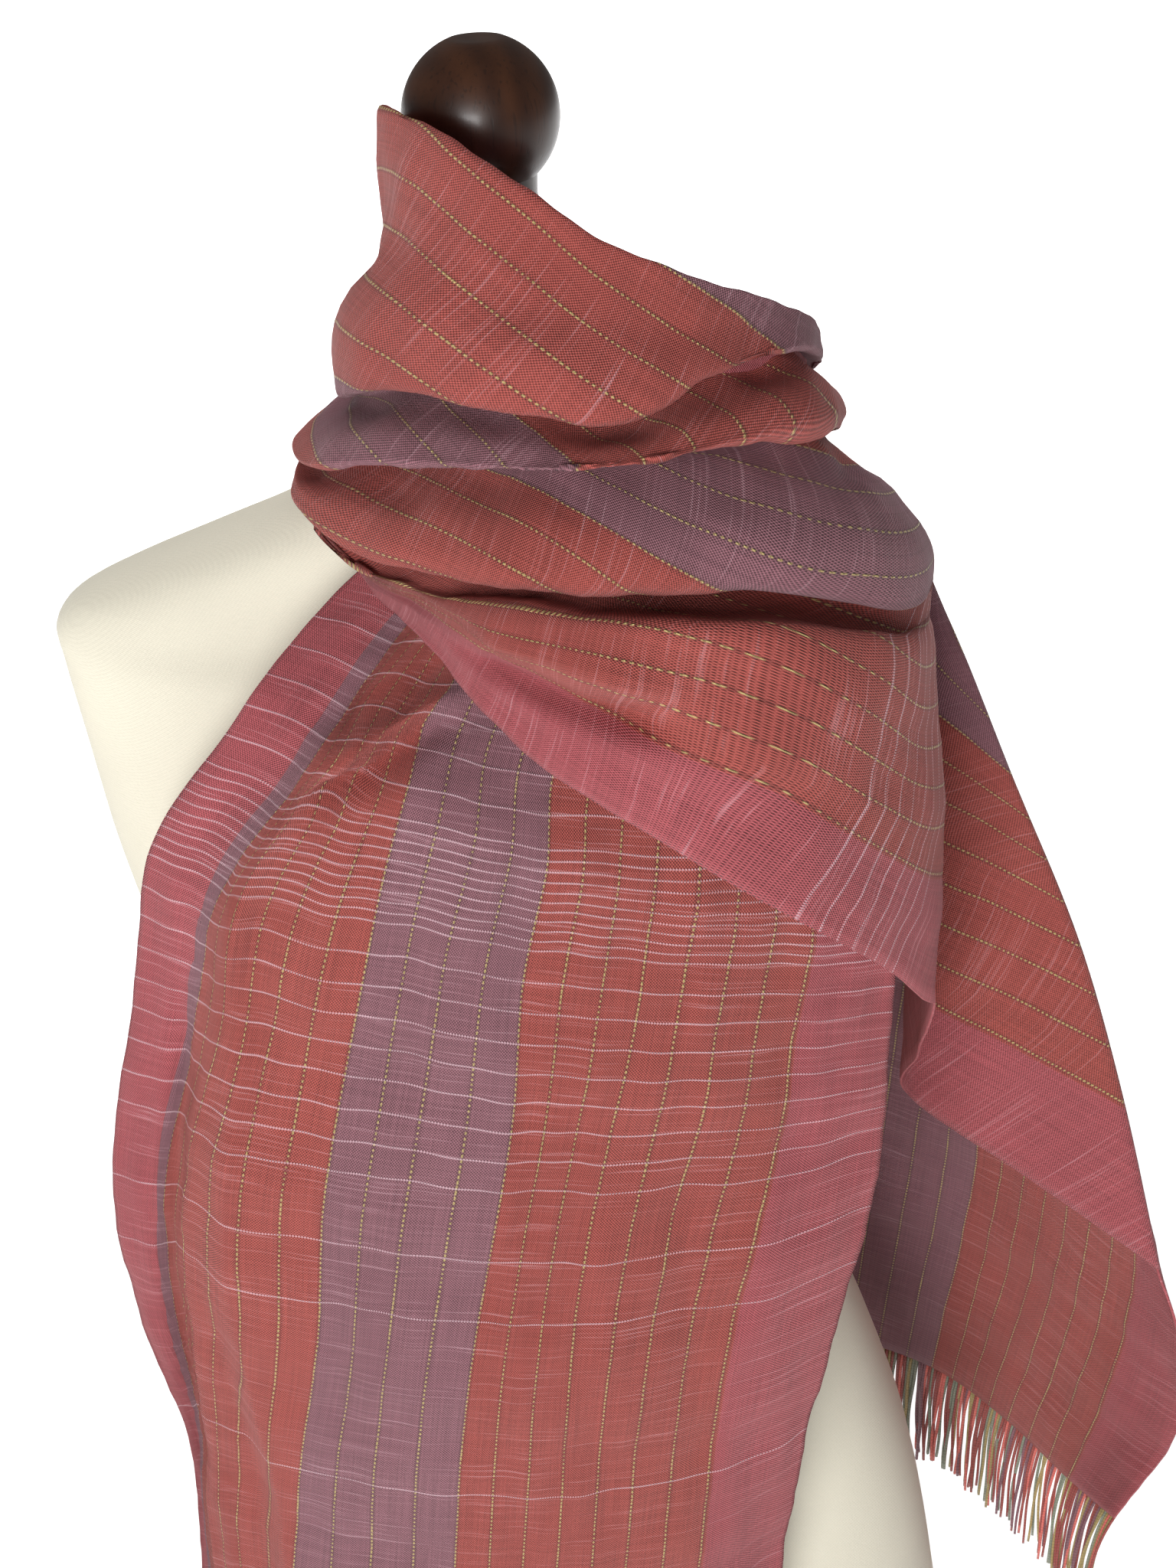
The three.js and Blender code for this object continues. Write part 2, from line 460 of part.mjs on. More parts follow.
// Below the shoulder the tail starts at a fold, so it has no cloth before it to slant with.
function rearTailGrid() {
  const { grid, before } = stretchFromWrap(ACROSSES, rearTailCurve, ROWS.rearTail);
  before.forEach((point, i) => { if (ACROSSES[i] >= SHOULDER_ACROSS) point.copy(grid[0][i]); });
  return { grid, before };
}

function rearTail() {
  const { grid, before } = rearTailGrid();
  return named("rear_tail", wallGeometry(grid, 1, before), "silk");
}

// A solid through closed loops of points, all of one length, with flat ends.
function loft(loops) {
  const size = loops[0].length;
  const faces = [];
  for (let i = 0; i < loops.length - 1; i += 1) {
    for (let j = 0; j < size; j += 1) {
      const [a, b] = [i * size + j, i * size + (j + 1) % size];
      faces.push(a, b, b + size, a, b + size, a + size);
    }
  }
  const last = (loops.length - 1) * size;
  for (let j = 1; j < size - 1; j += 1) faces.push(0, j + 1, j, last, last + j, last + j + 1);
  return indexed(loops.flat(), faces);
}

function toManifold(geometry) {
  const merged = mergeVertices(geometry);
  const mesh = new wasm.Mesh({
    numProp: 3,
    vertProperties: Float32Array.from(merged.attributes.position.array),
    triVerts: Uint32Array.from(merged.index.array),
  });
  return new wasm.Manifold(mesh);
}

function fromManifold(solid) {
  const mesh = solid.getMesh();
  const geometry = new THREE.BufferGeometry();
  geometry.setAttribute("position", new THREE.Float32BufferAttribute(mesh.vertProperties, 3));
  geometry.setIndex(Array.from(mesh.triVerts));
  return geometry;
}

// The fringe of a tail's end: strands of the warp that hang from a narrow woven strip under the hem, in the
// middle of the tail's wall.
function fringe(name, grid) {
  const [hem, above] = [curve(grid.at(-1)), curve(grid.at(-2))];
  const frameAt = (across) => {
    const fall = hem.getPointAt(across).sub(above.getPointAt(across)).normalize();
    const along = hem.getTangentAt(across);
    const out = fall.clone().cross(along).normalize();
    const root = hem.getPointAt(across).addScaledVector(out, -CLOTH.wall / 2);
    return { root, fall, along, out };
  };
  const half = FRINGE.wall / 2;
  const stripLoops = steps(0, 1, 20).map((across) => {
    const { root, fall, out } = frameAt(across);
    const corner = (depth, drop) => root.clone().addScaledVector(out, depth).addScaledVector(fall, drop);
    const [top, bottom] = [FRINGE.gap, FRINGE.gap + FRINGE.strip];
    return [corner(half, bottom), corner(-half, bottom), corner(-half, top), corner(half, top)];
  });
  let solid = toManifold(loft(stripLoops));
  for (let n = 0; n < FRINGE.strands; n += 1) {
    const { root, fall, along, out } = frameAt((n + 0.5) / FRINGE.strands);
    const length = FRINGE.length * (0.93 + 0.07 * Math.sin(n * 2.1));
    const point = root.clone().addScaledVector(fall, FRINGE.gap + FRINGE.strip / 2);
    const loops = steps(0, 1, FRINGE.bends).map((share, k) => {
      const way = fall.clone().lerp(DOWN, share).normalize();
      if (k > 0) point.addScaledVector(way, length / FRINGE.bends);
      const centre = point.clone().addScaledVector(along, FRINGE.sway * share * Math.sin(n * 1.7 + 3 * share));
      centre.addScaledVector(out, 2 * FRINGE.sway * share * Math.sin(n * 2.9 + 2 * share));
      return [0, 1, 2].map((corner) => {
        const angle = (corner / 3) * 2 * Math.PI;
        const radius = FRINGE.radius * (1 - 0.35 * share);
        return centre.clone().addScaledVector(along, radius * Math.cos(angle))
          .addScaledVector(out, radius * Math.sin(angle));
      });
    });
    solid = solid.add(toManifold(loft(loops)));
  }
  return named(name, fromManifold(solid), "fringe");
}

// A turned ball on a cove and a foot, with a small flat facet on top.
function finial() {
  const footZ = FORM_TOP + SEAT + NECK_CAP.height + SEAT;
  const [low, high] = [Math.asin(FINIAL.cove / FINIAL.ball), Math.PI - Math.asin(FINIAL.facet / FINIAL.ball)];
  const profile = [
    [0, footZ],
    [FINIAL.foot - 2, footZ],
    [FINIAL.foot, footZ + 2],
    [FINIAL.foot, footZ + FINIAL.footHeight],
    [FINIAL.foot - 5, footZ + FINIAL.footHeight + 5],
    [FINIAL.cove + 2, FINIAL.coveZ - 8],
    [FINIAL.cove, FINIAL.coveZ],
    ...steps(low, high, 9).map((a) => [FINIAL.ball * Math.sin(a), FINIAL.ballZ - FINIAL.ball * Math.cos(a)]),
    [0, FINIAL.ballZ + Math.sqrt(FINIAL.ball ** 2 - FINIAL.facet ** 2)],
  ];
  return lathe("finial", profile, 24, "wood");
}

// Profile points of a disc's rounded upper edge.
function roundedEdge(radius, top, edge, count) {
  return steps(0, Math.PI / 2, count).map((angle) => {
    return [radius - edge * (1 - Math.cos(angle)), top - edge * (1 - Math.sin(angle))];
  });
}

function neckCap() {
  const [bottom, top] = [FORM_TOP + SEAT, FORM_TOP + SEAT + NECK_CAP.height];
  const { radius, edge } = NECK_CAP;
  const shoulder = roundedEdge(radius, top, edge, 3);
  const profile = [[0, bottom], [radius - 1, bottom], [radius, bottom + 1], ...shoulder, [0, top]];
  return lathe("neck_cap", profile, 24, "wood");
}

function pole() {
  const [bottom, top] = [BASE.height + SEAT, FORM_BOTTOM - SEAT];
  return lathe("pole", [[0, bottom], [POLE_RADIUS, bottom], [POLE_RADIUS, top], [0, top]], 16, "wood");
}

function base() {
  const { radius, edge, height } = BASE;
  const profile = [[0, 0], [radius - 2, 0], [radius, 2], ...roundedEdge(radius, height, edge, 4), [0, height]];
  return lathe("base", profile, 36, "wood");
}

const group = new THREE.Group();
group.add(frontTail(), nape(), frontWrap(), rearPanel(), rearTail());
group.add(fringe("fringe_front", frontTailGrid().grid), fringe("fringe_rear", rearTailGrid().grid));
group.add(form(), neckCap(), finial(), pole(), base());

export default group;
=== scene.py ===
"""A fringed silk scarf wound once round the neck of a limbless dress form on a turned wooden stand."""

import math

import bpy
import numpy as np
from mathutils import Matrix, Vector


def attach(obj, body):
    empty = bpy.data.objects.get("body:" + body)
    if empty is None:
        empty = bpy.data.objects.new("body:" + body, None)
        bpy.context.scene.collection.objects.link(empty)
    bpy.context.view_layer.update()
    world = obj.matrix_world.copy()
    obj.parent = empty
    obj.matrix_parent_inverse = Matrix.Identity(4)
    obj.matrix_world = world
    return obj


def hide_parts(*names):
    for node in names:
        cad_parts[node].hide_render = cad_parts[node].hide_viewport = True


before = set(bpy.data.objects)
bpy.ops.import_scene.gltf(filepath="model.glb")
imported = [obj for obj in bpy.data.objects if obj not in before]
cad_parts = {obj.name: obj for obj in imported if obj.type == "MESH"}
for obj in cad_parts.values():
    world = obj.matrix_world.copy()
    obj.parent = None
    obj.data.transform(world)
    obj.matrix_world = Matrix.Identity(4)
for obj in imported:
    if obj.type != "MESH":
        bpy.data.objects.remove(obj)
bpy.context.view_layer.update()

bl_info = {
    "name": "Silk Scarf on a Dress Form",
    "version": (1, 0, 0),
    "blender": (4, 5, 0),
    "location": "View3D > Sidebar > Scarf",
    "description": "Builds a hand-woven silk scarf, its fringes, and the dress form that it is shown on",
    "category": "Add Mesh",
}

# A millimetre in metres, and a metre in millimetres.
MM, METRE = 0.001, 1000

# The cloth is worked out in millimetres: its width, how far its layers lie apart, and the neck's axis.
WIDTH = 400
LAYER = 3.6
AXIS = (30, -10)
# Degrees round the neck, from the front: where the front tail meets the nape, and where the wrap starts.
NECK_TURN, BACK_TURN = -262, -150
# Places down a section of the turn, and into how many steps the sheet divides the way from one to the next.
RIM, SHOULDER, HEM = 2, 18, 27
FINE = 5
# How far the rim reaches down inside at most, where it stands above the form's top.
RIM_INSIDE = 38
# How far across the cloth the shoulder's ridge ends and the fold behind it starts.
SHOULDER_ACROSS = 130
# The rows of the sheets in each stretch, and the columns of the front tail.
ROWS = {"front_tail": 165, "nape": 34, "wrap": 122, "panel": 44, "rear_tail": 66}
FRONT_COLUMNS = 134


def table(names, *rows):
    """Named columns from rows of numbers."""
    return {name: np.array(values, float) for name, values in zip(names.split(), zip(*rows))}


# The turn round the neck in upright sections: reach from the axis (R), height (Z), how far each lip is tucked,
# and how far the cloth under the rim is pinched inwards.
TURN = table(
    "turn pinch rimR rimZ lip1R lip1Z tuck1 lip2R lip2Z tuck2 lip3R lip3Z tuck3 panelR panelZ hemR hemZ",
    (-262, 0, 50, 893, 53, 884, 0, 56, 872, 0, 60, 858, 0, 61, 852, 62, 838.8),
    (-235, 0, 62, 897, 65, 888, 4, 70, 872, 4, 75, 857, 0, 77, 852, 80, 840),
    (-205, 0, 74, 909, 78, 896, 8, 86, 874, 6, 91, 854, 0, 93, 848, 96, 834),
    (-175, 1, 78, 934, 84, 900, 10, 94, 876, 8, 98, 854, 2, 99, 848, 99, 834),
    (-150, 3, 76, 966, 85, 900, 8, 97, 876, 9, 101, 856, 3, 100, 851, 97, 843),
    (-120, 7, 71, 988, 90, 892, 6, 106, 874, 10, 108, 862, 4, 106, 860, 98, 862),
    (-95, 10, 69, 1002, 96, 889, 9, 115, 868, 12, 112, 861, 4, 109, 861, 98, 870),
    (-75, 9, 68, 1009, 95, 898, 16, 114, 871, 15, 117, 860, 5, 114, 857, 104, 856),
    (-50, 4, 68, 1010, 92, 911, 20, 107, 885, 20, 116, 854, 6, 115, 849, 108, 839),
    (-30, 1, 70, 1002, 93, 914, 20, 106, 893, 20, 120, 856, 11, 122, 850, 120, 827),
    (-10, 0, 74, 990, 97, 913, 20, 109, 896, 20, 125, 856, 18, 131, 850, 132, 791),
    (10, 0, 81, 973, 102, 909, 22, 113, 898, 20, 129, 851, 32, 138, 845, 139, 756),
    (30, 0, 90, 958, 105, 920, 24, 116, 899, 21, 134, 846, 30, 143, 838, 147, 713),
    (50, 0, 97, 943, 106, 921, 20, 116, 894, 20, 139, 827, 16, 146, 818, 155, 666),
    (66, 0, 100, 928, 104, 914, 12, 113, 885, 16, 145, 811, 5, 149, 801, 161, 622),
    (88, 0, 99, 905, 101, 894, 6, 109, 866, 8, 148, 803, 0, 148, 794, 161, 600),
    (112, 0, 93, 885, 94, 876, 3, 104, 850, 4, 146, 796, 0, 146, 788, 160, 590),
)
# Where the turn ends, as degrees, by the share of the way down.
WRAP_END = table(
    "down turn",
    (0, 110), (0.3, 104), (0.6, 95), (0.72, 90), (0.86, 76), (1, 66),
)
# How far across the cloth, from the upper selvedge, each named line of the turn lies.
ACROSS_TURN = table(
    "turn rim lip1 roll2 lip2 roll3 lip3 panel middle hem",
    (-262, 0, 9, 25, 40, 60, 80, 360, 380, 400),
    (-235, 25, 34, 60, 75, 110, 140, 370, 385, 400),
    (-205, 45, 56, 90, 112, 155, 190, 372, 386, 400),
    (-175, 55, 84, 125, 150, 200, 235, 375, 388, 400),
    (-150, 60, 116, 165, 195, 240, 262, 385, 392, 400),
    (-120, 66, 148, 200, 235, 262, 275, 320, 370, 400),
    (-95, 69, 163, 211, 246, 270, 280, 292, 360, 400),
    (-75, 69, 163, 206, 243, 268, 282, 292, 370, 400),
    (-50, 69, 152, 187, 223, 255, 289, 300, 375, 400),
    (-30, 66, 142, 170, 200, 242, 287, 300, 370, 400),
    (-10, 62, 129, 152, 172, 226, 273, 300, 362, 400),
    (10, 56, 113, 132, 144, 202, 249, 299, 352, 400),
    (30, 49, 81, 103, 108, 175, 229, 283, 346, 400),
    (50, 42, 53, 73, 77, 151, 229, 265, 336, 400),
    (66, 37, 46, 59, 67, 140, 230, 250, 334, 400),
    (88, 36, 45, 55, 66, 136, 228, 246, 332, 400),
    (112, 35, 43, 52, 66, 130, 225, 240, 330, 400),
)
PLACES = {"rim": 2, "lip1": 8, "roll2": 10, "lip2": 14, "roll3": 16, "lip3": 20, "panel": 23, "middle": 25,
          "hem": 27}

# The front tail's two edges, row by row down to the hem, its bow, the ridge and the step beside the narrow
# stripe, and how far the weft runs ahead on one side.
FRONT_TAIL = table(
    "row leftX leftY leftZ rightX rightY rightZ bow ridge step skew",
    (0, 79, -5, 892, 91, -3, 840, 0, 0, 0, 0),
    (1, 62, -42, 889, 94, -48, 836, 2, 0, 0, 20),
    (2, 25, -66, 872, 106, -70, 816, 8, 1, 0, 50),
    (3, -15, -68, 861, 122, -88, 774, 14, 2, 0, 90),
    (4, -53, -70, 843, 138, -95, 732, 20, 4, 0, 90),
    (5, -82, -88, 821, 150, -95, 698, 26, 6, 0, 75),
    (6, -110, -104, 791, 156, -95, 662, 31, 8, 0, 58),
    (7, -149, -101, 736, 154, -101, 622, 36, 9, 0, 44),
    (8, -167, -97, 662, 152, -106, 583, 38, 6, 4, 27),
    (9, -187, -100, 583, 146, -110, 545, 38, 2, 10, 6),
    (10, -190, -101, 508, 131, -119, 485, 36, 0, 14, 4),
    (11, -176, -105, 415, 113, -124, 405, 34, 0, 15, 0),
    (12, -178, -108, 330, 104, -128, 330, 33, 0, 15, 0),
    (13, -180, -110, 250, 100, -130, 256, 33, 0, 14, 0),
    (14, -182, -111, 188, 98, -131, 200, 33, 0, 13, 0),
)
# Where the stripes' borders lie on the front tail, as shares of its width from the upper selvedge.
STRIPES_FRONT = table(
    "row at36 at52 at87 at121 at156 at193 at230 at282 at317 at352",
    (0, 0.09, 0.13, 0.21, 0.3, 0.39, 0.48, 0.575, 0.705, 0.79, 0.88),
    (3, 0.09, 0.12, 0.15, 0.19, 0.24, 0.32, 0.42, 0.6, 0.72, 0.86),
    (5, 0.088, 0.112, 0.135, 0.175, 0.225, 0.315, 0.42, 0.6, 0.735, 0.857),
    (6, 0.085, 0.107, 0.127, 0.178, 0.245, 0.35, 0.455, 0.61, 0.737, 0.857),
    (7, 0.085, 0.097, 0.118, 0.193, 0.29, 0.385, 0.487, 0.637, 0.744, 0.855),
    (8, 0.068, 0.077, 0.117, 0.18, 0.28, 0.383, 0.497, 0.622, 0.737, 0.85),
    (9, 0.064, 0.07, 0.1, 0.175, 0.283, 0.385, 0.5, 0.617, 0.725, 0.84),
    (10, 0.05, 0.058, 0.08, 0.165, 0.275, 0.37, 0.485, 0.617, 0.722, 0.835),
    (11, 0.012, 0.016, 0.025, 0.09, 0.195, 0.315, 0.45, 0.61, 0.72, 0.842),
    (12, 0.01, 0.014, 0.02, 0.07, 0.17, 0.3, 0.44, 0.605, 0.72, 0.842),
    (14, 0.01, 0.014, 0.02, 0.07, 0.17, 0.3, 0.44, 0.605, 0.72, 0.842),
)
# Where the front tail's ridge lies and its step starts, as a share of its width.
STRIPE_AT = 0.11

# The cloth behind the shoulder: from its ridge through a valley out to a fold.
REAR_PANEL = table(
    "across valleyX valleyY valleyZ foldX foldY foldZ",
    (130, 176.7, -1.5, 812.4, 177.2, 1, 811.3),
    (160, 179, 10, 801, 181, 18, 794),
    (195, 180, 22, 768, 203, 20, 739),
    (230, 183, 24, 722, 224, 17, 684),
    (300, 184, 22, 632, 260, 8, 592),
    (352, 183, 18, 566, 284, -5, 508),
    (400, 182, 14, 503, 305, -24, 415),
)
# The rear tail from that fold, or from the shoulder, down to its hem.
REAR_TAIL = table(
    "across backX backY backZ seatX seatY seatZ hemX hemY hemZ",
    (0, 84, 92, 775, 36, 142, 480, 0, 166, 228),
    (60, 108, 92, 768, 82, 144, 470, 60, 169, 220),
    (110, 138, 86, 752, 126, 140, 455, 110, 167, 211),
    (160, 186, 66, 700, 176, 128, 435, 160, 164, 201),
    (230, 234, 58, 585, 236, 104, 380, 224, 148, 184),
    (300, 272, 34, 500, 278, 66, 340, 264, 106, 179),
    (352, 300, 10, 430, 307, 30, 320, 290, 56, 182),
    (400, 322, -18, 362, 331, -8, 288, 303, 4, 206),
)

# The form in level ovals: half its width, its depth to the front and to the back, and its shift to one side.
FORM = table(
    "z half front back shift",
    (160, 205, 116, 134, 0), (235, 195, 116, 136, 0), (300, 183, 110, 128, 0), (365, 165, 102, 110, -1),
    (420, 147, 96, 97, -2), (465, 134, 94, 90, -3), (520, 138, 106, 90, -5), (575, 149, 124, 94, -6),
    (615, 157, 132, 97, -7), (665, 166, 122, 98, -9), (705, 174, 102, 95, -10), (745, 179, 82, 88, -11),
    (780, 183, 64, 76, -12), (794, 184, 53, 58, -12), (806, 174, 47, 50, -12), (817, 151, 44, 46, -12),
    (829, 120, 43, 45, -10), (841, 90, 43, 45, -6), (854, 66, 44, 46, -3), (876, 51, 45, 46, 0),
    (905, 45, 44, 45, 0),
)


def mix(a, b, share):
    """a, or b where share is 1."""
    return a + (b - a) * share


def smooth(value, low, high):
    """0 at low and 1 at high, with a soft start and end."""
    share = np.clip((value - low) / (high - low), 0, 1)
    return share * share * (3 - 2 * share)


def unit(vectors):
    """Vectors made 1 long."""
    return vectors / np.linalg.norm(vectors, axis=-1, keepdims=True)


def column(rows, key, name, at):
    """One named column at `at`, on a smooth curve through the rows."""
    x, y = rows[key], rows[name]
    i = np.clip(np.searchsorted(x, at) - 1, 0, len(x) - 2)
    before, after = np.maximum(i - 1, 0), np.minimum(i + 2, len(x) - 1)
    span, rise = x[i + 1] - x[i], y[i + 1] - y[i]
    slope_a = (y[i + 1] - y[before]) / (x[i + 1] - x[before])
    slope_b = (y[after] - y[i]) / (x[after] - x[i])
    s = np.clip((at - x[i]) / span, 0, 1)
    bend = (3 * rise - (2 * slope_a + slope_b) * span) * s ** 2
    return y[i] + slope_a * span * s + bend + ((slope_a + slope_b) * span - 2 * rise) * s ** 3


def spot(rows, key, at, name):
    """The place whose X, Y and Z are three columns of a table."""
    return np.stack([column(rows, key, name + axis, at) for axis in "XYZ"], -1)


def section(turn):
    """The 28 points (reach, height) of the turn's section, from inside the rim down to the selvedge."""
    def at(name):
        return column(TURN, "turn", name, turn)

    rim_r, rim_z = at("rimR"), at("rimZ")
    tuck_in = np.clip(rim_z - FORM["z"][-1], 0, RIM_INSIDE)
    points = [(rim_r - 5.2, rim_z - 11 - tuck_in), (rim_r - 4, rim_z - 2.5), (rim_r, rim_z)]
    for down, share in ((0.14, 0.25), (0.3, 0.75), (0.46, 1)):
        points.append((mix(rim_r, at("lip1R"), down) - share * at("pinch"), mix(rim_z, at("lip1Z"), down)))
    top_r, top_z = rim_r, rim_z
    for n in (1, 2, 3):
        lip_r, lip_z, tuck = at(f"lip{n}R"), at(f"lip{n}Z"), np.maximum(at(f"tuck{n}"), 0)
        fall = top_z - lip_z
        belly = (0.02 if n == 1 else 0.1) * fall
        if n > 1:
            points.append((mix(top_r, lip_r, 0.4) + belly, mix(top_z, lip_z, 0.35)))
        points.append((mix(top_r, lip_r, 0.8) + belly, mix(top_z, lip_z, 0.72)))
        points.append((lip_r, lip_z + np.minimum(0.16 * fall, 4)))
        points.append((lip_r - 0.16 * tuck, lip_z))
        points.append((lip_r - tuck, lip_z + 0.12 * tuck - 0.6))
        top_r = at("panelR") if n == 3 else lip_r - 0.12 * tuck
        top_z = at("panelZ") if n == 3 else lip_z - 0.12 * tuck - 2.4
        points.append((mix(lip_r - tuck, top_r, 0.55), mix(lip_z, top_z, 0.9) - 0.05 * tuck))
    points.append((top_r, top_z))
    for f in (0.25, 0.5, 0.75):
        bulge = 0.05 * (top_z - at("hemZ")) * f * (1 - f)
        points.append((mix(top_r, at("hemR"), f) + bulge, mix(top_z, at("hemZ"), f)))
    points.append((at("hemR"), at("hemZ")))
    return np.stack([np.stack(np.broadcast_arrays(r, z), -1) for r, z in points], -2)


def between(p0, p1, p2, p3, share):
    """A point of the smooth curve from p1 to p2, with p0 before and p3 after."""
    pairs = ((p0, p1), (p1, p2), (p2, p3))
    knots = [np.zeros(p0.shape[:-1] + (1,))]
    for a, b in pairs:
        knots.append(knots[-1] + np.maximum(np.linalg.norm(b - a, axis=-1, keepdims=True) ** 0.5, 1e-3))
    t = mix(knots[1], knots[2], share[..., None])

    def blend(a, b, ka, kb):
        return ((kb - t) * a + (t - ka) * b) / (kb - ka)

    a1, a2, a3 = (blend(a, b, knots[i], knots[i + 1]) for i, (a, b) in enumerate(pairs))
    b1, b2 = blend(a1, a2, knots[0], knots[2]), blend(a2, a3, knots[1], knots[3])
    return blend(b1, b2, knots[1], knots[2])


def with_ends(points):
    """Points with one more beyond each end, straight on."""
    first = 2 * points[..., :1, :] - points[..., 1:2, :]
    last = 2 * points[..., -1:, :] - points[..., -2:-1, :]
    return np.concatenate([first, points, last], -2)


def turn_point(turn, place):
    """Points of the turn at degrees round the neck and places down the section."""
    turn, place = np.broadcast_arrays(np.asarray(turn, float), np.asarray(place, float))
    points = with_ends(section(turn))
    i = np.clip(np.floor(place).astype(int), 0, HEM - 1)
    near = [np.take_along_axis(points, (i + k)[..., None, None], -2)[..., 0, :] for k in range(4)]
    reach, height = np.moveaxis(between(*near, place - i), -1, 0)
    angle = np.radians(turn)
    return np.stack([AXIS[0] + reach * np.sin(angle), AXIS[1] - reach * np.cos(angle), height], -1)


def along_curve(control, shares):
    """Points at shares of the length of a smooth curve through control points."""
    p = with_ends(np.asarray(control, float))
    steps = np.linspace(0, 1, 25)[:-1]
    near = np.repeat(p[:, None], len(steps), 1)
    fine = [between(*near[i:i + 4], steps) for i in range(len(control) - 1)]
    fine = np.concatenate([*fine, p[-2][None]])
    length = np.concatenate([[0], np.cumsum(np.linalg.norm(np.diff(fine, axis=0), axis=1))])
    at = np.asarray(shares) * length[-1]
    return np.stack([np.interp(at, length, fine[:, axis]) for axis in range(3)], -1)


def lengths(grid, axis):
    """Distance from the first point, along the rows (axis 0) or along each row (axis 1)."""
    steps = np.linalg.norm(np.diff(grid, axis=axis), axis=-1)
    start = np.zeros((1, grid.shape[1]) if axis == 0 else (grid.shape[0], 1))
    return np.concatenate([start, np.cumsum(steps, axis)], axis)


def faces_out(grid):
    """The grid's normals, along rows x columns."""
    normal = np.cross(np.gradient(grid, axis=0), np.gradient(grid, axis=1))
    return normal / np.maximum(np.linalg.norm(normal, axis=-1, keepdims=True), 1e-9)


# Creases and ridges pressed into the cloth: from a start to an end, how far they rise, and how wide they are.
CREASES_WOUND = table(
    "x0 y0 z0 x1 y1 z1 rise width",
    (-14, -128, 845, 60, -142, 824, 6, 9),
    (-10, -130, 831, 30, -141, 815, -15, 6),
    (8, -133, 824, 60, -149, 803, -20, 7),
    (-8, -132, 842, 66, -152, 818, 7, 7),
    (40, -146, 800, 110, -134, 770, 3, 14),
    (100, -102, 904, 137, -58, 886, 5, 10),
    (118, -98, 866, 140, -52, 868, -5, 6),
    (-46, -10, 950, -30, -66, 944, -3, 6),
    (-44, -20, 966, -20, -76, 930, 2, 10),
    (-60, -60, 884, -30, -104, 880, -2, 5),
    (-20, -100, 960, 60, -84, 930, -2, 9),
    (60, -100, 936, 116, -66, 912, -3, 8),
    (-70, -66, 862, 10, -128, 862, -2, 7),
    (60, -128, 884, 132, -84, 862, -3, 9),
    (80, -140, 812, 150, -96, 786, 4, 16),
    (90, -142, 770, 158, -94, 742, -3, 12),
)
CREASES_FRONT = table(
    "x0 y0 z0 x1 y1 z1 rise width",
    (-145, -108, 668, -166, -112, 530, -7, 5),
    (-166, -112, 545, -174, -108, 380, -6, 5),
    (-16, -101, 803, -78, -121, 776, 8, 6),
    (-18, -104, 791, -78, -122, 764, -17, 6),
    (-24, -96, 814, -80, -118, 794, -4, 8),
    (-60, -124, 750, -100, -128, 640, 4, 16),
    (0, -140, 560, -20, -142, 420, 4, 26),
    (70, -135, 600, 60, -138, 440, -4, 24),
    (120, -118, 540, 100, -128, 380, 4, 20),
    (-90, -134, 520, -110, -134, 380, -4, 22),
)
# How far a crease deeper than DEEP is tucked up under its upper lip, for each further millimetre.
DEEP, TUCK = 8, 0.5


def press(grid, out, creases):
    """The grid with creases pressed into it or raised on it, each fading out at its ends."""
    moved = grid.copy()
    for n in range(len(creases["rise"])):
        start, end = (np.array([creases[axis + side][n] for axis in "xyz"]) for side in "01")
        line = end - start
        reach = max(line @ line, 1e-6)
        share = np.clip((grid - start) @ line / reach, 0, 1)
        away = np.linalg.norm(grid - start - share[..., None] * line, axis=-1)
        fade = np.sin(np.pi * np.clip(share, 0.02, 0.98)) ** 0.5
        rise = creases["rise"][n]
        up = np.cross(line / reach ** 0.5, out)
        up = up * np.sign(up[..., 2].mean())
        shift = out * rise + up * (TUCK * max(-rise - DEEP, 0))
        moved += shift * (fade * np.exp(-(away / creases["width"][n]) ** 2))[..., None]
    return moved


def rippled(grid, out, weave, height):
    """The grid with the soft unevenness of hanging cloth: a few long waves in different directions."""
    rng = np.random.default_rng(5)
    wave = np.zeros(weave.shape[:2])
    for length in (140, 96, 71, 52, 39, 30, 23, 17):
        way, phase = rng.uniform(0, math.pi), rng.uniform(0, 2 * math.pi)
        run = weave[..., 0] * math.cos(way) + weave[..., 1] * math.sin(way)
        drift = 1.3 * np.sin(run[::-1] / 90)
        wave += np.sin(run * 2 * math.pi / length + phase + drift) * (length / 140) ** 0.6
    return grid + out * (wave * height)[..., None]


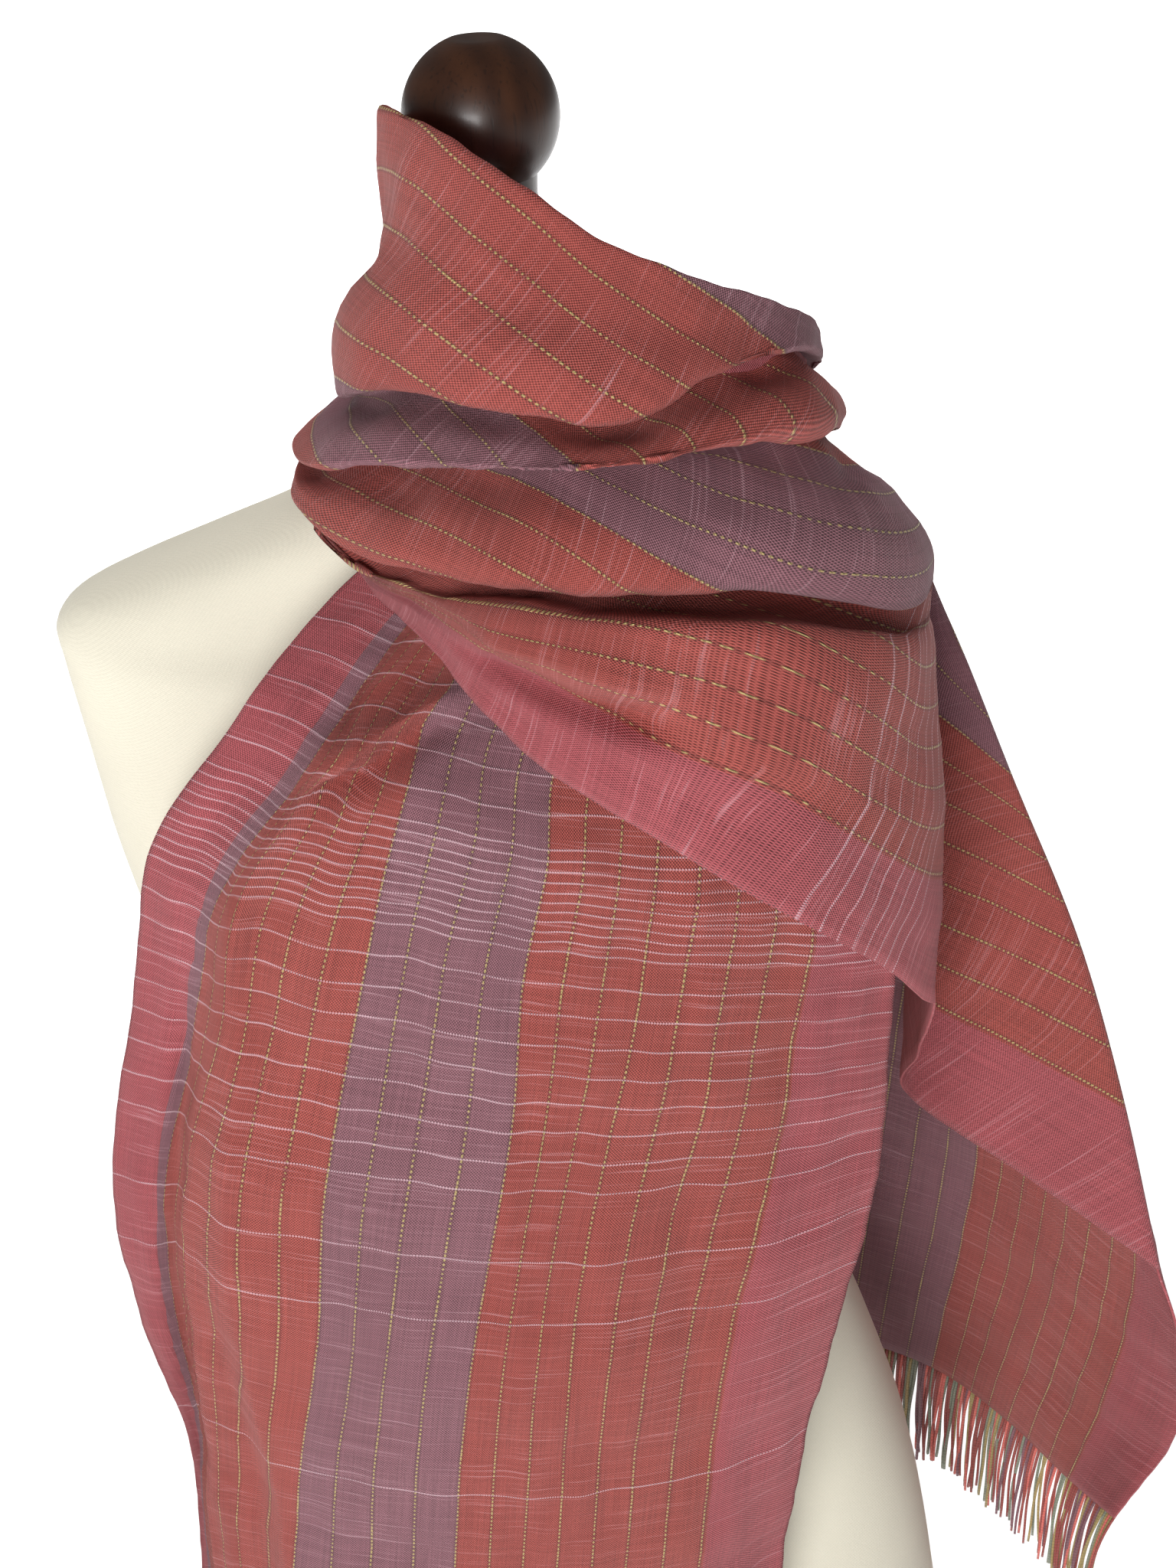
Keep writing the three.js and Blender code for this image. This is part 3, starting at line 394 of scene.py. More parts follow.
def front_tail_sheet():
    """The front tail's points, and its weave coordinates: along the warp and across it."""
    last = FRONT_TAIL["row"][-1]
    row = np.linspace(0.009, 1, ROWS["front_tail"])[:, None] * last
    across = np.linspace(0, 1, FRONT_COLUMNS)[None, :]
    row, across = np.broadcast_arrays(row, across)
    points = mix(spot(FRONT_TAIL, "row", row, "left"), spot(FRONT_TAIL, "row", row, "right"), across[..., None])
    seam = turn_point(NECK_TURN, mix(RIM, HEM, across))
    points = mix(points, seam, 1 - smooth(row, 0, 1)[..., None])
    ridge = np.exp(-((across - STRIPE_AT) / 0.035) ** 2)
    step = smooth(across, STRIPE_AT, STRIPE_AT + 0.05) * (1 - smooth(across, 0.85, 1))
    at = {name: column(FRONT_TAIL, "row", name, row) for name in ("bow", "ridge", "step", "skew")}
    points[..., 1] -= at["bow"] * 4 * across * (1 - across) + at["ridge"] * ridge + at["step"] * step
    points = press(points, faces_out(points), CREASES_FRONT)
    middle = lengths(points, 0)[:, 40:100].mean(1)
    warp = (middle[-1] - middle)[:, None] + at["skew"] * (0.3 - across)
    borders = [float(name[2:]) for name in STRIPES_FRONT if name != "row"]
    weft = np.zeros_like(across)
    for i, place in enumerate(row[:, 0]):
        stops = [float(column(STRIPES_FRONT, "row", f"at{b:.0f}", place)) for b in borders]
        weft[i] = np.interp(across[i], [0, *np.maximum.accumulate(stops), 1], [0, *borders, WIDTH])
    weave = np.stack([warp, weft], -1)
    calm = smooth(row, 1, 3) * (1 - smooth(row, last - 1, last))
    return rippled(points, faces_out(points), weave, 0.85 * calm), weave


def across_at(place):
    """How far across the cloth each place of the turn's end lies."""
    low = SHOULDER_ACROSS * place / SHOULDER
    high = mix(SHOULDER_ACROSS, WIDTH, (place - SHOULDER) / (HEM - SHOULDER))
    return np.where(place < SHOULDER, low, high)


def behind_fold(across):
    """Which way the rear tail lies from the end of the cloth in front of it."""
    share = smooth(across, SHOULDER_ACROSS, SHOULDER_ACROSS + 65)
    aside = mix(np.array([-1, 0.2, 0]), np.array([0, 1, 0]), share)
    return unit(aside) * LAYER * smooth(across, SHOULDER_ACROSS - 15, SHOULDER_ACROSS)


def rear_rows(ridge, across):
    """One column of the rear: out over the panel to the fold, and from the fold or the shoulder to the hem."""
    panel_rows, tail_rows = ROWS["panel"], ROWS["rear_tail"]
    down = [spot(REAR_TAIL, "across", across, name) for name in ("back", "seat", "hem")]
    if across < SHOULDER_ACROSS:
        near = 0.004 + 0.33 * (1 - smooth(across, 20, SHOULDER_ACROSS)) ** 2
        shares = np.concatenate([np.linspace(0, near, panel_rows), np.linspace(near, 1, tail_rows + 1)[1:]])
        return along_curve([ridge + behind_fold(across) * 0.5, *down], shares[1:])
    fold = spot(REAR_PANEL, "across", across, "fold")
    valley = spot(REAR_PANEL, "across", across, "valley")
    panel = along_curve([ridge, mix(ridge, valley, 0.5), valley, mix(valley, fold, 0.5), fold],
                        np.linspace(0, 1, panel_rows)[1:])
    tail = along_curve([fold + behind_fold(across), *down], np.linspace(0, 1, tail_rows))
    outward = panel[-1] - panel[-2]
    round_fold = mix(panel[-1], tail[0], 0.5) + outward / max(np.linalg.norm(outward), 1e-6) * LAYER * 0.45
    return np.concatenate([panel, round_fold[None], tail[:-1]])


# Over how many rows to each side the slant of the weave is evened out.
CALM_ROWS = 24


def wound_sheet():
    """The nape, wrap, rear panel and rear tail in one sheet, and its weave coordinates."""
    place = np.linspace(0, HEM, HEM * FINE + 1)
    end = column(WRAP_END, "down", "turn", place / HEM)
    nape = np.linspace(NECK_TURN, BACK_TURN, ROWS["nape"])[:-1, None] + 0 * place
    wrap = mix(BACK_TURN, end[None, :], np.linspace(0, 1, ROWS["wrap"])[:, None])
    turns = np.concatenate([nape, wrap])
    round_neck = turn_point(turns, place[None, :])
    across = across_at(place)
    rear = np.stack([rear_rows(ridge, a) for ridge, a in zip(round_neck[-1], across)], 1)
    points = np.concatenate([round_neck, rear])

    reach = lengths(round_neck, 1)
    anchors = [PLACES[name] * FINE for name in PLACES]
    weft = np.zeros(turns.shape)
    for i in range(len(turns)):
        values = [float(column(ACROSS_TURN, "turn", name, turns[i, PLACES[name] * FINE])) for name in PLACES]
        weft[i] = np.interp(reach[i], reach[i, anchors], np.maximum.accumulate(values))
        inside = slice(0, RIM * FINE)
        weft[i, inside] = np.maximum(weft[i, RIM * FINE] - (reach[i, RIM * FINE] - reach[i, inside]), 0)
    steps = np.diff(reach[:, anchors], axis=1) ** 2 - np.diff(weft[:, anchors], axis=1) ** 2
    steps = np.sqrt(np.maximum(steps, 0))
    near = np.exp(-(np.arange(-CALM_ROWS, CALM_ROWS + 1) / (CALM_ROWS / 2)) ** 2)
    padded = np.pad(steps, ((CALM_ROWS, CALM_ROWS), (0, 0)), "edge")
    steps = np.stack([np.convolve(padded[:, k], near / near.sum(), "valid") for k in range(steps.shape[1])], 1)
    fall = np.concatenate([np.zeros((len(turns), 1)), np.cumsum(steps, 1)], 1)
    down = np.stack([np.interp(reach[i], reach[i, anchors], fall[i]) for i in range(len(turns))])
    warp = lengths(round_neck, 0)[:, [RIM * FINE]] + down

    run = lengths(np.concatenate([round_neck[-1:], rear]), 0)[1:]
    share = run / run[-1:]
    finish = float(np.mean(warp[-1] + run[-1]))
    rear_warp = mix(warp[-1][None], finish, share)
    rear_weft = mix(weft[-1][None], across[None], smooth(share, 0, 0.15))
    weave = np.stack([np.concatenate([warp, rear_warp]), np.concatenate([weft, rear_weft])], -1)
    points = press(points, -faces_out(points), CREASES_WOUND)
    row, last = np.arange(len(points))[:, None], len(turns) - 1
    calm = smooth(row, 40, 70) * np.where(row > last, 0.5 + 0.5 * smooth(row, last + 60, last + 80), 1)
    calm = calm * (1 - smooth(np.abs(row - last - ROWS["panel"]), 8, 0))
    calm = calm * (1 - smooth(row, len(points) - 8, len(points)))
    return rippled(points, -faces_out(points), weave, 0.75 * calm * np.ones_like(place)), weave


# Small helpers for Blender.


def choose_none():
    """Nothing is selected."""
    bpy.ops.object.select_all(action="DESELECT")


def active(obj):
    """Only obj is selected, and it is the one that operators act on."""
    choose_none()
    obj.select_set(True)
    bpy.context.view_layer.objects.active = obj
    return obj


def modify(obj, kind, **settings):
    """Adds a modifier with the given settings and applies it."""
    active(obj)
    bpy.ops.object.modifier_add(type=kind)
    modifier = obj.modifiers[-1]
    for name, value in settings.items():
        setattr(modifier, name, value)
    bpy.ops.object.modifier_apply(modifier=modifier.name)
    return obj


def mesh_object(name, points, faces, weave=None):
    """An object from points in millimetres, its faces and, for cloth and yarn, its weave coordinates."""
    mesh = bpy.data.meshes.new(name)
    mesh.from_pydata((points.reshape(-1, 3) * MM).tolist(), [], faces)
    if weave is not None:
        uv = mesh.uv_layers.new(name="weave")
        uv.data.foreach_set("uv", (weave.reshape(-1, 2)[np.ravel(faces)] * MM).ravel())
    obj = bpy.data.objects.new(name, mesh)
    bpy.context.collection.objects.link(obj)
    return active(obj)


def sheet_object(name, points, weave, outward, wall):
    """A sheet of cloth through a grid of points, with its weave coordinates, thickened inwards."""
    rows, columns = points.shape[:2]
    index = np.arange(rows * columns).reshape(rows, columns)
    quads = np.stack([index[:-1, :-1], index[1:, :-1], index[1:, 1:], index[:-1, 1:]], -1).reshape(-1, 4)
    if outward < 0:
        quads = quads[:, ::-1]
    obj = mesh_object(name, points, quads.tolist(), weave)
    modify(obj, "SOLIDIFY", thickness=wall, offset=-1, use_rim=True)
    bpy.ops.object.shade_smooth()
    return obj


def finished(obj, finish, slot, *nodes):
    """Gives a piece its finish, and lets it stand for its CAD nodes."""
    obj.data.materials.clear()
    obj.data.materials.append(finish)
    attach(obj, "root")
    if nodes:
        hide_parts(*nodes)
    return obj


# Materials.


class Wire:
    """One socket of a material's nodes. Python's operators on it add Math nodes."""

    def __init__(self, finish, socket):
        self.finish, self.socket = finish, socket

    def math(self, operation, *values, clamp=False):
        return self.finish.node("ShaderNodeMath", {"operation": operation, "use_clamp": clamp}, *values)

    def __add__(self, other):
        return self.math("ADD", self, other)

    __radd__ = __add__

    def __sub__(self, other):
        return self.math("SUBTRACT", self, other)

    def __rsub__(self, other):
        return self.math("SUBTRACT", other, self)

    def __mul__(self, other):
        return self.math("MULTIPLY", self, other)

    __rmul__ = __mul__

    def __truediv__(self, other):
        return self.math("DIVIDE", self, other)

    def __abs__(self):
        return self.math("ABSOLUTE", self)

    def sine(self, pitch):
        """A wave from -1 to 1 that repeats every `pitch`."""
        return self.math("SINE", self * (2 * math.pi / pitch))

    def rise(self, at, soft):
        """0 below `at` and 1 above it, over a width of `soft`."""
        return self.math("MULTIPLY_ADD", self, 1 / soft, 0.5 - at / soft, clamp=True)

    def fold(self):
        """Distance from the nearest whole number."""
        return abs(self.math("FRACT", self + 0.5) - 0.5)

    def band(self, start, end, soft):
        """1 between start and end."""
        return self.rise(start, soft) * (1 - self.rise(end, soft))

    def lines(self, first, pitch, count, width, soft):
        """Narrow lines at a regular pitch."""
        across = (self - first) / pitch
        line = 1 - (across.fold() * pitch).rise(width / 2, soft)
        return line * across.rise(-0.5, 0.02) * (1 - across.rise(count - 0.5, 0.02))


class Finish:
    """A material as it is built up, node by node."""

    def __init__(self, name):
        self.material = bpy.data.materials.new(name)
        self.material.use_nodes = True
        self.tree = self.material.node_tree
        self.tree.nodes.clear()

    def node(self, kind, settings=None, *values, out=0, **sockets):
        """Adds a node: its settings first, then its sockets in order or by name, and returns one output."""
        made = self.tree.nodes.new(kind)
        for name, value in (settings or {}).items():
            setattr(made, name, value)
        named = {made.inputs[i]: value for i, value in enumerate(values) if value is not None}
        for name, value in sockets.items():
            label = name.replace("_", " ")
            named[next(s for s in made.inputs if s.name == label and s.enabled)] = value
        for socket, value in named.items():
            if isinstance(value, Wire):
                self.tree.links.new(value.socket, socket)
            elif socket.type == "RGBA" and len(value) == 3:
                socket.default_value = (*value, 1)
            else:
                socket.default_value = value
        return Wire(self, made.outputs[out]) if made.outputs else None

    def blend(self, a, b, share):
        """Colour a, and colour b where share is 1."""
        return self.node("ShaderNodeMix", {"data_type": "RGBA"}, out=2, Factor=share, A=a, B=b)

    def shaded(self, colour, share):
        """A colour made lighter or darker by a share round 1."""
        return self.node("ShaderNodeVectorMath", {"operation": "SCALE"}, Vector=colour, Scale=share)

    def noise(self, place, scale=1.0, detail=2.0, roughness=0.5):
        """Soft random patches, from 0 to 1, at a place that is one vector or its two or three parts."""
        if isinstance(place, tuple):
            place = self.node("ShaderNodeCombineXYZ", None, *place)
        return self.node("ShaderNodeTexNoise", {"noise_dimensions": "3D"}, Vector=place, Scale=scale,
                         Detail=detail, Roughness=roughness)

    def done(self, bump=None, bump_distance=0.0003, bump_strength=0.5, **sockets):
        """Ends the material with its shader."""
        if bump is not None:
            sockets["Normal"] = self.node("ShaderNodeBump", None, Strength=bump_strength,
                                          Distance=bump_distance, Height=bump)
        shader = self.node("ShaderNodeBsdfPrincipled", None, **sockets)
        self.node("ShaderNodeOutputMaterial", None, Surface=shader)
        return self.material


def separate(finish, vector):
    """The three parts of a vector."""
    first = finish.node("ShaderNodeSeparateXYZ", None, vector)
    return [Wire(finish, socket) for socket in first.socket.node.outputs]


# The stripes' borders across the cloth and how soft they are, in millimetres.
PLUM_STRIPES = ((36, 52), (156, 230))
ROSE_BANDS = (36, 354)
BORDER = 0.6
# The pitch of the woven yarns.
YARN = 1.25
# The stripes' gold threads: first line, pitch and count, across the cloth.
GOLD_LINES = ((52, 17.33, 6), (156, 18.5, 4), (230, 17.43, 8))
# The pale picks of weft: first line from the front hem, pitch and count.
PALE_PICKS = ((232, 20, 1), (330, 31, 2), (394, 12.9, 8), (498, 4.25, 11), (553, 14, 5), (1352, 7, 8))


def silk_finish(colours):
    """Plain-woven silk: plum and rose stripes, gold threads in the warp and pale picks in the weft."""
    f = Finish("woven_silk")
    u, v, _ = separate(f, f.node("ShaderNodeUVMap", {"uv_map": "weave"}))
    u, v = u * METRE, v * METRE
    waver = f.noise((u * 0.011, v * 0.03), 1.0, 1.0)
    across = v + (waver - 0.5) * 1.8
    slack = f.noise((u * 0.004, v * 0.02, 3.0), 1.0, 1.0)
    along = u + (slack - 0.5) * 7

    narrow, wide = (across.band(start, end, BORDER) for start, end in PLUM_STRIPES)
    rose = (1 - across.rise(ROSE_BANDS[0], BORDER)) + across.rise(ROSE_BANDS[1], BORDER)
    cloth = f.blend(colours.red, colours.plum, narrow + wide)
    cloth = f.blend(cloth, colours.rose, rose)

    warp_slub = f.noise((u * 0.02, v * 1.1, 7.0))
    weft_slub = f.noise((u * 0.9, v * 0.014, 11.0), 1.0, 3.0, 0.6)
    cloud = f.noise((u * 0.02, v * 0.03, 5.0))
    check = u.sine(YARN) * v.sine(YARN)
    tone = 0.3 + warp_slub * 0.62 + weft_slub * 0.66 + cloud * 0.14 + check * 0.7
    cloth = f.shaded(cloth, tone)
    cloth = f.blend(cloth, colours.pick, weft_slub.rise(0.66, 0.16) * 0.26)

    gold, seam = 0, 0
    for first, pitch, count in GOLD_LINES:
        gold = across.lines(first, pitch, count, 0.8, 0.35) + gold
        seam = across.lines(first, pitch, count, 2.2, 0.7) + seam
    loose = f.noise((u * 0.06, v * 0.2, 2.0), 1.0, 1.0)
    beads = (u.sine(2.3) * 0.5 + loose * 1.5 - 0.2).rise(0.5, 0.4)
    cloth = f.shaded(cloth, 1 - seam * 0.28)
    cloth = f.blend(cloth, colours.gold, gold * beads * 0.85)

    pale = 0
    for first, pitch, count in PALE_PICKS:
        pale = along.lines(first, pitch, count, 0.65, 0.4) + pale
    over = (v.sine(YARN) * 0.35 + cloud * 1.2).rise(0.42, 0.5)
    cloth = f.blend(cloth, colours.pick, pale * over * 0.6)

    height = check * 0.5 + (warp_slub + weft_slub) * 0.6 + gold * beads * 0.9 + pale * 0.6
    return f.done(bump=height, bump_distance=0.0006, bump_strength=0.8, Base_Color=cloth,
                  Roughness=0.68 - gold * 0.2 + check * 0.06, Metallic=gold * beads * 0.25,
                  Specular_IOR_Level=0.35, Sheen_Weight=0.12, Sheen_Roughness=0.45,
                  Sheen_Tint=(0.95, 0.75, 0.75, 1))


def yarn_finish(colours):
    """Twisted fringe yarn, each strand in one of the warp's colours."""
    f = Finish("fringe_yarn")
    u, strand, _ = separate(f, f.node("ShaderNodeUVMap", {"uv_map": "weave"}))
    number = strand.math("FLOOR", strand * METRE)
    pick = f.node("ShaderNodeTexWhiteNoise", {"noise_dimensions": "1D"}, W=number)
    stops = [(0.0, colours.red), (0.3, colours.coral), (0.5, colours.olive), (0.68, colours.sage),
             (0.86, colours.plum)]
    colour = f.node("ShaderNodeValToRGB", None, pick)
    ramp = colour.socket.node.color_ramp
    ramp.interpolation = "CONSTANT"
    while len(ramp.elements) < len(stops):
        ramp.elements.new(0.5)
    for element, (at, dye) in zip(ramp.elements, stops):
        element.position, element.color = at, (*dye, 1)
    twist = (u * METRE + number * 0.7).sine(2.4)
    fibre = f.noise((u * 300, number))
    tone = 0.75 + fibre * 0.4 + twist * 0.1
    return f.done(bump=twist + fibre, bump_distance=0.0002, Base_Color=f.shaded(colour, tone),
                  Roughness=0.6 + fibre * 0.1, Sheen_Weight=0.15)


def jersey_finish(colours):
    """Cream knitted jersey, stretched over the form."""
    f = Finish("cream_jersey")
    place = f.node("ShaderNodeTexCoord", None, out=3)
    x, y, z = separate(f, place)
    wales = (x * METRE + y * METRE).sine(1.3) * (z * METRE).sine(1.1)
    mottle = f.noise(place, 14.0, 3.0)
    fuzz = f.noise(place, 900.0)
    tone = 0.9 + mottle * 0.12 + fuzz * 0.08 + wales * 0.03
    return f.done(bump=wales * 0.4 + fuzz, bump_distance=0.0002, bump_strength=0.35,
                  Base_Color=f.shaded(colours.jersey, tone), Roughness=0.85 + fuzz * 0.1, Sheen_Weight=0.1)


def wood_finish(colours):
    """Turned beech, stained dark red-brown and varnished."""
    f = Finish("stained_wood")
    place = f.node("ShaderNodeTexCoord", None, out=3)
    x, y, z = separate(f, place)
    drift = f.noise(place, 9.0)
    rings = (x * 60 + y * 22 + drift * 2.2).sine(1.0) * 0.5 + 0.5
    grain = f.noise((x * 160, y * 160, z * 14), 1.0, 4.0, 0.6)
    pores = f.noise((x * 700, y * 700, z * 40)).rise(0.63, 0.1)
    colour = f.blend(colours.wood, colours.wood_light, rings * 0.35 + grain * 0.4)
    return f.done(bump=grain * 0.5 - pores * 0.5, bump_distance=0.0002, bump_strength=0.15,
                  Base_Color=f.shaded(colour, 1 - pores * 0.35), Roughness=0.34 + grain * 0.12,
                  Coat_Weight=0.3, Coat_Roughness=0.22, Specular_IOR_Level=0.6)


def floor_finish(colours):
    """A pale painted floor."""
    f = Finish("pale_floor")
    place = f.node("ShaderNodeTexCoord", None, out=3)
    speck = f.noise(place, 40.0, 3.0)
    return f.done(Base_Color=f.shaded(colours.floor, 0.97 + speck * 0.05), Roughness=0.8 + speck * 0.1,
                  Emission_Color=(1, 1, 1, 1), Emission_Strength=0.2)


# The pieces.


def cloth_facts(points, weave):
    """The cut's length in metres."""
    return round(float(weave[..., 0].max() - weave[..., 0].min()) * MM, 3)


# Fringe yarns: points down each and sides round it, how many lean to one tuft, and the radius at both ends.
STATIONS, YARN_SIDES, TUFT = 12, 4, 5
YARN_RADIUS = (1.2, 1.0)


def yarn_paths(hem, above, count, length):
    """The yarns' middle lines, how long each is, and the directions along and out of the hem at each root."""
    rng = np.random.default_rng(11)
    at = (np.arange(count) + 0.5) / count * (len(hem) - 1)
    i = np.floor(at).astype(int)
    f = (at - i)[:, None]
    root = mix(hem[i], hem[i + 1], f)
    fall = unit(root - mix(above[i], above[i + 1], f))
    along = unit(hem[i + 1] - hem[i])
    out = np.cross(fall, along)
    length = length * rng.uniform(0.9, 1.03, count)
    tuft = np.repeat(np.arange(0, count, TUFT), TUFT)[:count] + TUFT // 2
    centre = root[np.minimum(tuft, count - 1)]
    sway, phase = rng.uniform(-1, 1, (2, count)), rng.uniform(0, 6.28, count)
    place, path = root - fall * 2, []
    for k in range(STATIONS):
        share = k / (STATIONS - 1)
        if k:
            way = unit(mix(fall, np.array([0, 0, -1.0]), share ** 0.7))
            place = place + way * (length / (STATIONS - 1))[:, None]
        drawn = (centre - root) * (0.2 * share)
        wave = along * (sway[0] * share * 3.5 + np.sin(phase + share * 7) * share * 1.2)[:, None]
        lift = out * (sway[1] * share * 3 + np.cos(phase + share * 6) * share)[:, None]
        path.append(place + drawn + wave + lift)
    return np.stack(path, 1), length, along, out


def strands(name, hem, above, settings, finish):
    """A fringe: yarns that leave the hem, bend down and drift into loose tufts."""
    count = settings.strands
    path, length, along, out = yarn_paths(hem, above, count, settings.fringe_length / MM)
    radius = np.linspace(*YARN_RADIUS, STATIONS)[None, :, None]
    rings = []
    for side in range(YARN_SIDES):
        angle = side / YARN_SIDES * 2 * math.pi
        rings.append(path + radius * (along[:, None] * math.cos(angle) + out[:, None] * math.sin(angle)))
    rings = np.stack(rings, 2)
    vertex = np.arange(rings[..., 0].size).reshape(rings.shape[:3])
    around = np.roll(vertex, -1, 2)
    walls = np.stack([vertex[:, :-1], around[:, :-1], around[:, 1:], vertex[:, 1:]], -1).reshape(-1, 4)
    ends = np.concatenate([vertex[:, 0, ::-1], vertex[:, -1]])
    quads = np.concatenate([walls, ends])
    run = np.broadcast_to(np.linspace(0, 1, STATIONS)[None, :, None] * length[:, None, None], vertex.shape)
    number = np.broadcast_to(np.arange(count)[:, None, None] + 0.5, vertex.shape)
    obj = mesh_object(name, rings, quads.tolist(), np.stack([run, number], -1))
    bpy.ops.object.mode_set(mode="EDIT")
    bpy.ops.mesh.select_all(action="SELECT")
    bpy.ops.mesh.normals_make_consistent(inside=False)
    bpy.ops.object.mode_set(mode="OBJECT")
    bpy.ops.object.shade_smooth()
    return finished(obj, finish, "fringe", name.replace("_yarns", ""))


def form_body():
    """The padded form: a smooth skin through level ovals, closed at both ends."""
    sides, levels = 80, 90
    z = np.linspace(FORM["z"][0], FORM["z"][-1], levels)
    z = np.sort(np.concatenate([z, np.linspace(780, 860, 30)[1:-1]]))
    angle = np.arange(sides) / sides * 2 * math.pi
    cos, sin = np.cos(angle), np.sin(angle)
    at = {name: column(FORM, "z", name, z)[:, None] for name in ("half", "front", "back", "shift")}
    x = at["shift"] + at["half"] * np.sign(cos) * np.abs(cos) ** 0.88
    y = np.where(sin < 0, at["front"], at["back"]) * np.sign(sin) * np.abs(sin) ** 0.88
    points = np.stack([x, y, np.broadcast_to(z[:, None], x.shape)], -1)
    index = np.arange(points[..., 0].size).reshape(points.shape[:2])
    around = np.roll(index, -1, 1)
    quads = np.stack([index[:-1], around[:-1], around[1:], index[1:]], -1).reshape(-1, 4).tolist()
    obj = mesh_object("form_skin", points, [*quads, index[0, ::-1].tolist(), index[-1].tolist()])
    bpy.ops.object.shade_smooth_by_angle(angle=math.radians(50))
    return obj


def turned(name, profile, steps):
    """A turned piece: its profile is drawn point by point, then spun round the stand's axis."""
    bpy.ops.mesh.primitive_plane_add(size=0.001)
    obj = bpy.context.object
    obj.name = obj.data.name = name
    bpy.ops.object.mode_set(mode="EDIT")
    bpy.ops.mesh.select_all(action="SELECT")
    bpy.ops.mesh.merge(type="CENTER")
    radius, height = profile[0]
    bpy.ops.transform.translate(value=(radius * MM, 0, height * MM))
    for (r0, z0), (r1, z1) in zip(profile, profile[1:]):
        bpy.ops.mesh.extrude_region_move(TRANSFORM_OT_translate={"value": ((r1 - r0) * MM, 0, (z1 - z0) * MM)})
    bpy.ops.mesh.select_all(action="SELECT")
    bpy.ops.mesh.spin(steps=steps, angle=2 * math.pi, center=(0, 0, 0), axis=(0, 0, 1))
    bpy.ops.mesh.select_all(action="SELECT")
    bpy.ops.mesh.remove_doubles(threshold=0.00002)
    bpy.ops.mesh.normals_make_consistent(inside=False)
    bpy.ops.object.mode_set(mode="OBJECT")
    bpy.ops.object.shade_smooth_by_angle(angle=math.radians(35))
    return obj


def arc(centre_r, centre_z, radius, start, end, count):
    """Profile points of a round, from one angle to another, in degrees from straight up."""
    angles = np.radians(np.linspace(start, end, count))
    return [(centre_r + radius * math.sin(a), centre_z + radius * math.cos(a)) for a in angles]


class ScarfColours(bpy.types.PropertyGroup):
    """The colours of the scarf and of its stand."""

    def colour(name, description, value):
        return bpy.props.FloatVectorProperty(name=name, description=description, default=value, subtype="COLOR",
                                             size=3, min=0, max=1)

    red: colour("Red", "The main stripes", (0.335, 0.068, 0.056))
    rose: colour("Rose", "The bands beside the selvedges", (0.365, 0.078, 0.09))
    plum: colour("Plum", "The wide and the narrow stripe", (0.235, 0.1, 0.122))
    gold: colour("Gold", "The metallic warp threads", (0.62, 0.48, 0.2))
    pick: colour("Pale pick", "The pale threads in the weft", (0.85, 0.6, 0.66))
    coral: colour("Coral", "Bright strands of the fringe", (0.7, 0.16, 0.13))
    olive: colour("Olive", "Olive strands of the fringe", (0.4, 0.3, 0.12))
    sage: colour("Sage", "Grey-green strands of the fringe", (0.25, 0.27, 0.2))
    jersey: colour("Jersey", "The form's cover", (0.8, 0.755, 0.62))
    wood: colour("Wood", "The stain of the stand", (0.028, 0.008, 0.003))
    wood_light: colour("Light grain", "The lighter grain of the stand", (0.085, 0.028, 0.009))
    floor: colour("Floor", "The floor that the stand is on", (0.92, 0.92, 0.92))


class ScarfSizes(bpy.types.PropertyGroup):
    """The sizes of the scarf and the strength of the lights."""

    def size(name, description, value, **limits):
        return bpy.props.FloatProperty(name=name, description=description, default=value, **limits)

    wall: size("Cloth", "Thickness of the cloth", 0.0012, min=0.0006, max=0.0016, unit="LENGTH")
    fringe_length: size("Fringe", "Length of the fringe", 0.088, min=0.02, max=0.12, unit="LENGTH")
    strands: bpy.props.IntProperty(name="Strands", description="Yarns in each fringe", default=400, min=40,
                                   max=400)
    key: size("Key light", "Strength of the softbox in front", 56, min=0, unit="POWER")
    room: size("Room light", "Strength of the light all round", 0.11, min=0, subtype="FACTOR")


